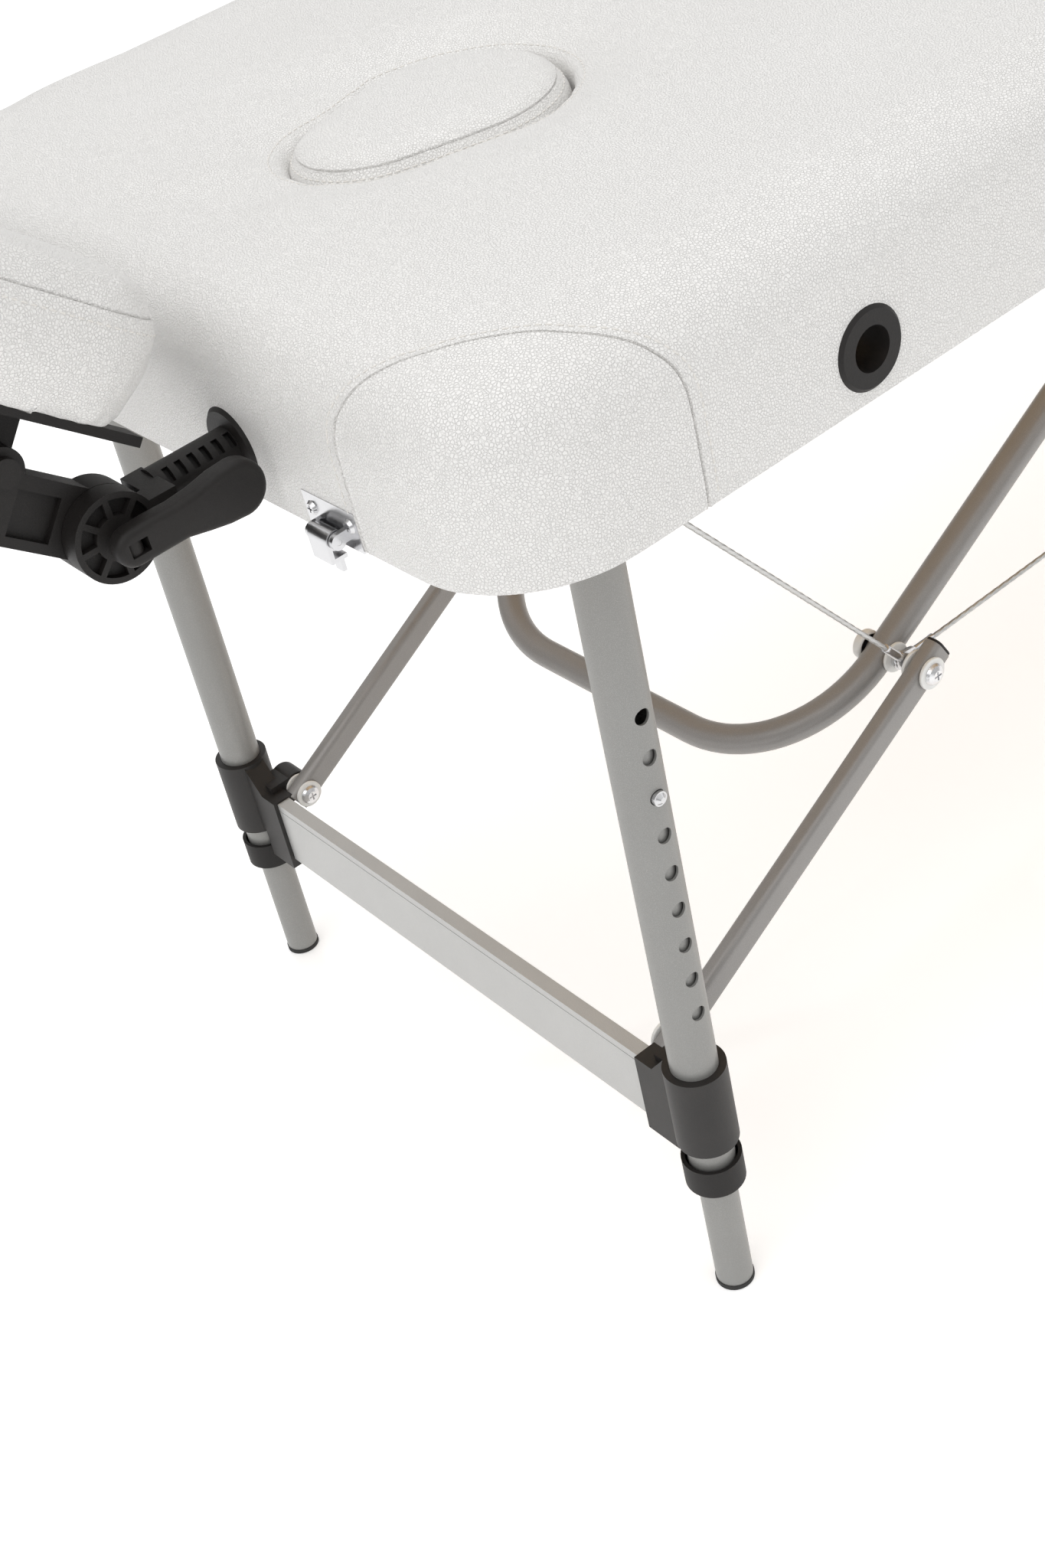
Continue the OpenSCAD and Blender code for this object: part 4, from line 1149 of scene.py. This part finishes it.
@dataclass
class WireCable:
    """Twisted steel cable with a crimped sleeve and a flat eye at an end."""

    finishes: Finishes
    radius: float = 0.0015
    strands: int = 6
    lay: float = 0.015
    sleeve_r: float = 0.0027
    sleeve_length: float = 0.018
    eye_r: float = 0.0062
    eye_t: float = 0.0028
    bore_r: float = 0.0041

    def rope(self, name: str, start: Vector, stop: Vector) -> bpy.types.Object:
        """Twisted strands between two points, as one grooved tube.

        Args:
            name: the new object's name.
            start: one end.
            stop: the other end.

        Returns:
            The rope.
        """
        run = stop - start
        length = run.length
        rings = max(int(length / (self.lay / 8)), 4)
        around = self.strands * 4
        along = run.normalized()
        side = along.cross(Vector((0, 1, 0))).normalized()
        up = along.cross(side).normalized()
        mesh = bmesh.new()
        last: list = []
        for i in range(rings + 1):
            where = length * i / rings
            twist = 2 * math.pi * where / self.lay
            ring = []
            for k in range(around):
                angle = 2 * math.pi * k / around
                lobe = abs(math.cos(self.strands * (angle - twist) / 2))
                radius = self.radius * (0.66 + 0.40 * lobe)
                spot = start + along * where + (side * math.cos(angle) + up * math.sin(angle)) * radius
                ring.append(mesh.verts.new(spot))
            if last:
                for k in range(around):
                    j = (k + 1) % around
                    mesh.faces.new((last[k], last[j], ring[j], ring[k]))
            else:
                mesh.faces.new(list(reversed(ring)))
            last = ring
        mesh.faces.new(last)
        bmesh.ops.recalc_face_normals(mesh, faces=mesh.faces)
        data = bpy.data.meshes.new(name)
        mesh.to_mesh(data)
        mesh.free()
        obj = bpy.data.objects.new(name, data)
        bpy.context.scene.collection.objects.link(obj)
        for face in data.polygons:
            face.use_smooth = True
        return self.finishes.dress(obj, "steel_cable")

    def eye(self, name: str, pin: Vector, towards: Vector) -> bpy.types.Object:
        """Flat crimped eye round a pin, with its sleeve pressed onto the rope.

        Args:
            name: the new object's name.
            pin: the middle of the eye.
            towards: the direction in which the rope leaves.

        Returns:
            Eye and sleeve as one object.
        """
        along = towards.normalized()
        deselect_all()
        bpy.ops.mesh.primitive_cylinder_add(vertices=40, radius=self.eye_r, depth=self.eye_t)
        tag = bpy.context.object
        for vertex in tag.data.vertices:
            if vertex.co.x > self.eye_r * 0.4:
                vertex.co.x += self.eye_r * 1.1
                vertex.co.y *= 0.72
        bpy.ops.mesh.primitive_cylinder_add(vertices=32, radius=self.bore_r, depth=0.02)
        bore = bpy.context.object
        use_modifier(tag, "BOOLEAN", object=bore, operation="DIFFERENCE", solver="EXACT")
        bpy.data.objects.remove(bore)
        use_modifier(tag, "BEVEL", width=0.0005, segments=2, limit_method="ANGLE")
        deselect_all()
        bpy.ops.mesh.primitive_cylinder_add(vertices=24, radius=self.sleeve_r, depth=self.sleeve_length,
                                            rotation=(0, math.pi / 2, 0),
                                            location=(self.eye_r * 1.6 + self.sleeve_length / 2, 0, 0))
        sleeve = settle(bpy.context.object)
        self._crimp(sleeve)
        make_active(tag)
        sleeve.select_set(True)
        bpy.ops.object.join()
        side = Vector((0, 1, 0))
        basis = Matrix((along, along.cross(side) * -1.0, side)).transposed().to_4x4()
        basis.translation = pin
        tag.data.transform(basis)
        fix_normals(tag)
        return smooth(self.finishes.dress(name_it(tag, name), "chrome"), math.radians(35))

    def _crimp(self, sleeve: bpy.types.Object) -> None:
        """Presses two flats into a sleeve."""
        use_modifier(sleeve, "BEVEL", width=0.0007, segments=2, limit_method="ANGLE")
        make_active(sleeve)
        bpy.ops.object.mode_set(mode="EDIT")
        bpy.ops.mesh.select_all(action="SELECT")
        for share in (0.25, 0.4, 0.6, 0.75):
            spot = self.eye_r * 1.6 + self.sleeve_length * share
            bpy.ops.mesh.select_all(action="SELECT")
            bpy.ops.mesh.bisect(plane_co=(spot, 0, 0), plane_no=(1, 0, 0))
        bpy.ops.object.mode_set(mode="OBJECT")
        for vertex in sleeve.data.vertices:
            share = (vertex.co.x - self.eye_r * 1.6) / self.sleeve_length
            if 0.2 < share < 0.45 or 0.55 < share < 0.8:
                vertex.co.z *= 0.82


def fix_normals(obj: bpy.types.Object) -> None:
    """Makes every face of an object point outwards."""
    make_active(obj)
    bpy.ops.object.mode_set(mode="EDIT")
    bpy.ops.mesh.select_all(action="SELECT")
    bpy.ops.mesh.normals_make_consistent(inside=False)
    bpy.ops.object.mode_set(mode="OBJECT")


@dataclass
class Cables:
    """All wire cables: four from the leg brackets to the knees, and two between the halves' knees."""

    finishes: Finishes
    knee: tuple = (-0.599, 0.282)
    anchor: tuple = (-0.817, 0.555)
    outer_y: float = 0.184
    centre_y: float = 0.178
    middle_share: float = 0.42

    def build(self) -> None:
        """Makes every cable and ties its ends to the bodies that it joins."""
        wire = WireCable(self.finishes)
        for end in End:
            pieces = []
            for side in Side:
                pieces += self._outer(wire, end, side)
            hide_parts(f"{end.word}_outer_cables")
        pieces = []
        for side in Side:
            pieces += self._centre(wire, side)
        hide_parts("centre_cables")
        LOG.info("cables done")

    def _outer(self, wire: WireCable, end: End, side: Side) -> list[bpy.types.Object]:
        """Cable from a leg bracket's tab down to the knee."""
        y = side.value * self.outer_y
        top = Vector((end.x(self.anchor[0]), y, self.anchor[1]))
        low = Vector((end.x(self.knee[0]), y, self.knee[1]))
        name = f"{end.word}_{side.word}_outer_cable"
        run = (low - top).normalized()
        gap = wire.eye_r * 1.6
        rope = wire.rope(name, top + run * gap, low - run * gap)
        upper = wire.eye(f"{name}_upper_eye", top, run)
        lower = wire.eye(f"{name}_lower_eye", low, -run)
        panel, loop = f"{end.word}_section", f"{end.word}_loop"
        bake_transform(rope)
        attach(upper, panel)
        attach(lower, loop)
        return [rope, upper, lower]

    def _centre(self, wire: WireCable, side: Side) -> list[bpy.types.Object]:
        """Cable between the two halves' knees, in three straight lengths."""
        y = side.value * self.centre_y
        z = self.knee[1]
        ends = {end: Vector((end.x(self.knee[0]), y, z)) for end in End}
        run = (ends[End.FOOT] - ends[End.HEAD])
        gap = run.normalized() * wire.eye_r * 1.6
        split = {End.HEAD: ends[End.HEAD] + run * self.middle_share / 2,
                 End.FOOT: ends[End.FOOT] - run * self.middle_share / 2}
        pieces = []
        for end, sign in ((End.HEAD, 1), (End.FOOT, -1)):
            name = f"{end.word}_{side.word}_centre_cable"
            rope = wire.rope(name, ends[end] + gap * sign, split[end])
            panel, loop = f"{end.word}_section", f"{end.word}_loop"
            ends[end] + gap * sign * 3
            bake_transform(rope)
            eye = wire.eye(f"{name}_eye", ends[end], run * sign)
            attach(eye, loop)
            pieces += [rope, eye]
        middle = wire.rope(f"middle_{side.word}_centre_cable", split[End.HEAD], split[End.FOOT])
        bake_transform(middle)
        pieces.append(middle)
        return pieces


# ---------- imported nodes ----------


NODE_FINISHES = {
    "white_vinyl": "white_vinyl", "foam": "foam", "birch_plywood": "birch_plywood",
    "black_plastic": "black_plastic", "black_rubber": "black_rubber", "black_webbing": "black_webbing",
    "grey_powder_coat": "grey_powder_coat", "brace_powder_coat": "brace_powder_coat",
    "steel_cable": "steel_cable", "chrome": "chrome", "plated_steel": "plated_steel",
}


SPECIAL_FINISHES = {
    "head_crossbar": "crossbar_coat", "foot_crossbar": "crossbar_coat",
    "head_crossbar_brackets": "head_lower_bolts", "foot_crossbar_brackets": "foot_lower_bolts",
    "head_knee_bolts": "head_knee_bolts", "foot_knee_bolts": "foot_knee_bolts",
}


def dress_nodes(finishes: Finishes) -> None:
    """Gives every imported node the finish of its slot, or its own."""
    for part in frame["record"]["subparts"]:
        node = CAD_NODES[part["node"]]
        finish = finishes.made[SPECIAL_FINISHES.get(part["node"], NODE_FINISHES[part["material_slot"]])]
        if not node.data.materials:
            node.data.materials.append(finish)
        for index in range(len(node.data.materials)):
            node.data.materials[index] = finish


def body_of_node(node: str) -> str:
    """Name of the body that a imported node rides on."""
    bodies = frame["record"]["behaviour"]["bodies"]
    return next(body for body, members in bodies.items() if node in members)


@dataclass
class Struts:
    """The four rounded struts with the black plugs in their tail ends, and their nylon washers."""

    finishes: Finishes
    lower: tuple = (-0.832, 0.1575)
    knee: tuple = (-0.599, 0.282)
    tail: float = 0.016
    height: float = 0.019
    width: float = 0.012
    corner: float = 0.0046
    cap: float = 0.0024
    strut_y: float = 0.195
    knee_washers: tuple = ((0.20115, 0.20330, 0.0102), (0.1867, 0.18895, 0.0098), (0.1721, 0.1745, 0.0096),
                           (0.1462, 0.1528, 0.0096))
    lower_washers: tuple = ((0.20115, 0.2029, 0.0098), (0.1867, 0.18895, 0.0098))

    def build(self) -> None:
        """Makes every strut, plug and washer."""
        for end in End:
            low = Vector((end.x(self.lower[0]), 0, self.lower[1]))
            knee = Vector((end.x(self.knee[0]), 0, self.knee[1]))
            along = (knee - low).normalized()
            across = Vector((0, 1, 0))
            turn = Matrix((along, across, along.cross(across))).transposed().to_4x4()
            for side in Side:
                turn.translation = low + across * side.value * self.strut_y
                self._bar(end, side, turn, (knee - low).length)
                self._plug(end, side, turn, (knee - low).length)
                self._washers(end, side, knee, self.knee_washers, f"{end.word}_knee_bolts", "knee")
                self._washers(end, side, low, self.lower_washers, f"{end.word}_crossbar_brackets", "lower")
            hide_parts(f"{end.word}_struts")
        LOG.info("struts done")

    def _bar(self, end: End, side: Side, turn: Matrix, length: float) -> bpy.types.Object:
        """One strut, with its long edges rolled round."""
        half_h, half_w = self.height / 2, self.width / 2
        bar = add_box(f"{end.word}_{side.word}_strut", (-half_h, -half_w, -half_h),
                      (length + self.tail, half_w, half_h))
        bevel_edges(bar, lambda a, b: abs(a.x - b.x) > 0.1, self.corner, 6)
        use_modifier(bar, "BEVEL", width=0.0009, segments=2, limit_method="ANGLE",
                     angle_limit=math.radians(60))
        bar.data.transform(turn)
        fix_normals(bar)
        smooth(self.finishes.dress(bar, "brace_powder_coat"), math.radians(30))
        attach(bar, f"{end.word}_strut_pair")
        return bar

    def _plug(self, end: End, side: Side, turn: Matrix, length: float) -> None:
        """Plug in a strut's tail end."""
        half_h, half_w, start = self.height / 2 - 0.0004, self.width / 2 - 0.0004, length + self.tail - 0.0008
        plug = add_box(f"{end.word}_{side.word}_strut_plug", (start, -half_w, -half_h),
                       (start + self.cap, half_w, half_h))
        bevel_edges(plug, lambda a, b: abs(a.x - b.x) > self.cap / 2, self.corner, 6)
        use_modifier(plug, "BEVEL", width=0.0007, segments=3, limit_method="ANGLE",
                     angle_limit=math.radians(60))
        plug.data.transform(turn)
        fix_normals(plug)
        smooth(self.finishes.dress(plug, "black_plastic"))
        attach(plug, f"{end.word}_strut_pair")

    def _washers(self, end: End, side: Side, centre: Vector, sizes: tuple, node: str, word: str) -> None:
        """Rounded nylon washers on one bolt, joined into one piece."""
        rings = []
        for low, high, radius in sizes:
            deselect_all()
            middle = (centre.x, side.value * (low + high) / 2, centre.z)
            bpy.ops.mesh.primitive_cylinder_add(vertices=40, radius=radius, depth=high - low,
                                                rotation=(math.pi / 2, 0, 0), location=middle)
            ring = settle(bpy.context.object)
            use_modifier(ring, "BEVEL", width=(high - low) * 0.3, segments=3, limit_method="ANGLE")
            rings.append(ring)
        make_active(rings[0])
        for ring in rings[1:]:
            ring.select_set(True)
        bpy.ops.object.join()
        washers = name_it(rings[0], f"{end.word}_{side.word}_{word}_washers")
        smooth(self.finishes.dress(washers, "white_nylon"), math.radians(50))
        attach(washers, body_of_node(node))


@dataclass
class CamLevers:
    """The two teardrop levers that lock the cradle's tilt, each with the bright pin in its slot."""

    finishes: Finishes
    hub: tuple = (-1.010, 0.582)
    lever_y: float = 0.131
    thickness: float = 0.012
    reach: float = 0.058
    edge: float = 0.0036
    upper: tuple = ((0.000, 0.0095), (0.012, 0.0098), (0.024, 0.0094), (0.036, 0.0104), (0.048, 0.0128))
    lower: tuple = ((0.048, -0.0142), (0.038, -0.0122), (0.026, -0.0094), (0.013, -0.0094), (0.000, -0.0095))

    def build(self) -> None:
        """Makes both levers."""
        for side in Side:
            lever = self._blade(side)
            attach(lever, f"{side.word}_lever")
            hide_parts(f"{side.word}_cam_lever")
            pin = self._pin(side)
            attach(pin, f"{side.word}_lever")
        LOG.info("levers done")

    def _outline(self) -> list[tuple[float, float]]:
        """Points round the lever, along it and upwards, from the knuckle's top clockwise."""
        tip_r = 0.0142
        tip = [(self.reach + tip_r * math.sin(math.radians(a)), -0.0008 + tip_r * math.cos(math.radians(a)))
               for a in range(0, 181, 9)]
        knuckle_r = 0.0095
        knuckle = [(-knuckle_r * math.sin(math.radians(a)), -knuckle_r * math.cos(math.radians(a)))
                   for a in range(12, 180, 12)]
        return list(self.upper) + tip + list(self.lower) + knuckle

    def _blade(self, side: Side) -> bpy.types.Object:
        """The lever's body with rolled edges and its slot."""
        outline = self._outline()
        deselect_all()
        bpy.ops.mesh.primitive_circle_add(vertices=len(outline), radius=1.0, fill_type="NGON")
        blade = name_it(bpy.context.object, f"{side.word}_tilt_lever")
        centre = Vector((HINGE_X + self.hub[0], side.value * self.lever_y, self.hub[1]))
        for vertex, (u, v) in zip(blade.data.vertices, outline):
            vertex.co = centre + Vector((u, -self.thickness / 2, v))
        make_active(blade)
        bpy.ops.object.mode_set(mode="EDIT")
        bpy.ops.mesh.select_all(action="SELECT")
        bpy.ops.mesh.extrude_region_move(TRANSFORM_OT_translate={"value": (0, self.thickness, 0)})
        bpy.ops.object.mode_set(mode="OBJECT")
        fix_normals(blade)
        use_modifier(blade, "BEVEL", width=self.edge, segments=5, limit_method="ANGLE",
                     angle_limit=math.radians(60))
        slot = add_box("slot", centre + Vector((-0.0035, -0.02, -0.0036)),
                       centre + Vector((0.0065, 0.02, 0.0036)))
        use_modifier(blade, "BOOLEAN", object=slot, operation="DIFFERENCE", solver="EXACT")
        bpy.data.objects.remove(slot)
        return smooth(self.finishes.dress(blade, "black_plastic"), math.radians(35))

    def _pin(self, side: Side) -> bpy.types.Object:
        """Bright cross pin in the lever's slot."""
        deselect_all()
        bpy.ops.mesh.primitive_cylinder_add(
            vertices=24, radius=0.0022, depth=0.0076,
            location=(HINGE_X + self.hub[0] + 0.001, side.value * (self.lever_y + 0.002), self.hub[1]))
        pin = settle(name_it(bpy.context.object, f"{side.word}_lever_pin"))
        use_modifier(pin, "BEVEL", width=0.0003, segments=2, limit_method="ANGLE")
        return smooth(self.finishes.dress(pin, "chrome"))


# ---------- stage ----------


@dataclass
class Studio:
    """Pale floor, soft light and the camera."""

    eye: tuple = (-1.18807, -0.93570, 1.04008)
    right: tuple = (0.75328, -0.62304, -0.21069)
    down: tuple = (-0.52249, -0.37232, -0.76706)
    forward: tuple = (0.39947, 0.68789, -0.60599)
    lens: float = 48.67
    horizon: float = 0.42
    zenith: float = 1.10

    def build(self) -> None:
        """Makes the floor, the lights and the camera."""
        self._floor()
        self._lights()
        self._camera()

    def _floor(self) -> None:
        """Wide pale floor with a faint gloss."""
        deselect_all()
        bpy.ops.mesh.primitive_plane_add(size=30.0, location=(0, 0, -0.0005))
        floor = settle(name_it(bpy.context.object, "studio_floor"))
        s = Shader("studio_floor")
        cloud = s.noise(1.5, 3.0)
        s.set(Base_Color=s.mix(cloud, (0.95, 0.95, 0.95), (0.93, 0.93, 0.93)), Roughness=0.06 + 0.03 * cloud,
              Emission_Color=(1.0, 1.0, 1.0, 1.0), Emission_Strength=0.36)
        floor.data.materials.append(s.material)

    def _lights(self) -> None:
        """Bright sky with three broad soft boxes."""
        world = bpy.data.worlds.new("studio_sky")
        world.use_nodes = True
        tree = world.node_tree
        background = tree.nodes["Background"]
        background.inputs["Color"].default_value = (1.0, 1.0, 1.0, 1.0)
        split = tree.nodes.new("ShaderNodeSeparateXYZ")
        tree.links.new(tree.nodes.new("ShaderNodeTexCoord").outputs["Generated"], split.inputs[0])
        rise = tree.nodes.new("ShaderNodeMapRange")
        tree.links.new(split.outputs["Z"], rise.inputs["Value"])
        rise.inputs["To Min"].default_value = self.horizon
        rise.inputs["To Max"].default_value = self.zenith
        tree.links.new(rise.outputs["Result"], background.inputs["Strength"])
        bpy.context.scene.world = world
        boxes = (("key_softbox", (-2.4, -0.8, 2.6), 2.4, 18.0), ("fill_softbox", (2.6, -1.8, 2.2), 2.6, 8.0),
                 ("top_softbox", (0.2, 0.4, 3.4), 3.0, 12.0))
        for name, place, size, power in boxes:
            light = bpy.data.lights.new(name, "AREA")
            light.size = size
            light.energy = power
            lamp = bpy.data.objects.new(name, light)
            lamp.location = place
            direction = Vector((-0.3, 0, 0.4)) - Vector(place)
            lamp.rotation_euler = direction.to_track_quat("-Z", "Y").to_euler()
            bpy.context.scene.collection.objects.link(lamp)

    def _camera(self) -> None:
        """Camera at the chosen viewing angle."""
        camera = bpy.data.cameras.new("camera")
        camera.lens = self.lens
        camera.sensor_width = 36.0
        camera.sensor_height = 36.0
        camera.sensor_fit = "VERTICAL"
        camera.clip_start = 0.01
        holder = bpy.data.objects.new("camera", camera)
        up = tuple(-v for v in self.down)
        back = tuple(-v for v in self.forward)
        turn = Matrix((self.right, up, back)).transposed()
        holder.matrix_world = Matrix.Translation(self.eye) @ turn.to_4x4()
        bpy.context.scene.collection.objects.link(holder)
        bpy.context.scene.camera = holder
        bpy.context.scene.view_settings.view_transform = "Standard"


def main() -> None:
    """Builds everything in order."""
    logging.basicConfig(level=logging.INFO)
    Studio().build()
    finishes = Finishes()
    finishes.build()
    dress_nodes(finishes)
    Cables(finishes).build()
    Struts(finishes).build()
    CamLevers(finishes).build()
    stitching = Stitching(finishes)
    hole = BreathHole()
    for end in End:
        BedCover(end, finishes, stitching, hole).build()
    build_plug(finishes, stitching, hole)
    build_face_cushion(finishes, stitching, CradleFrame())
    deselect_all()


if __name__ == "__main__":
    main()
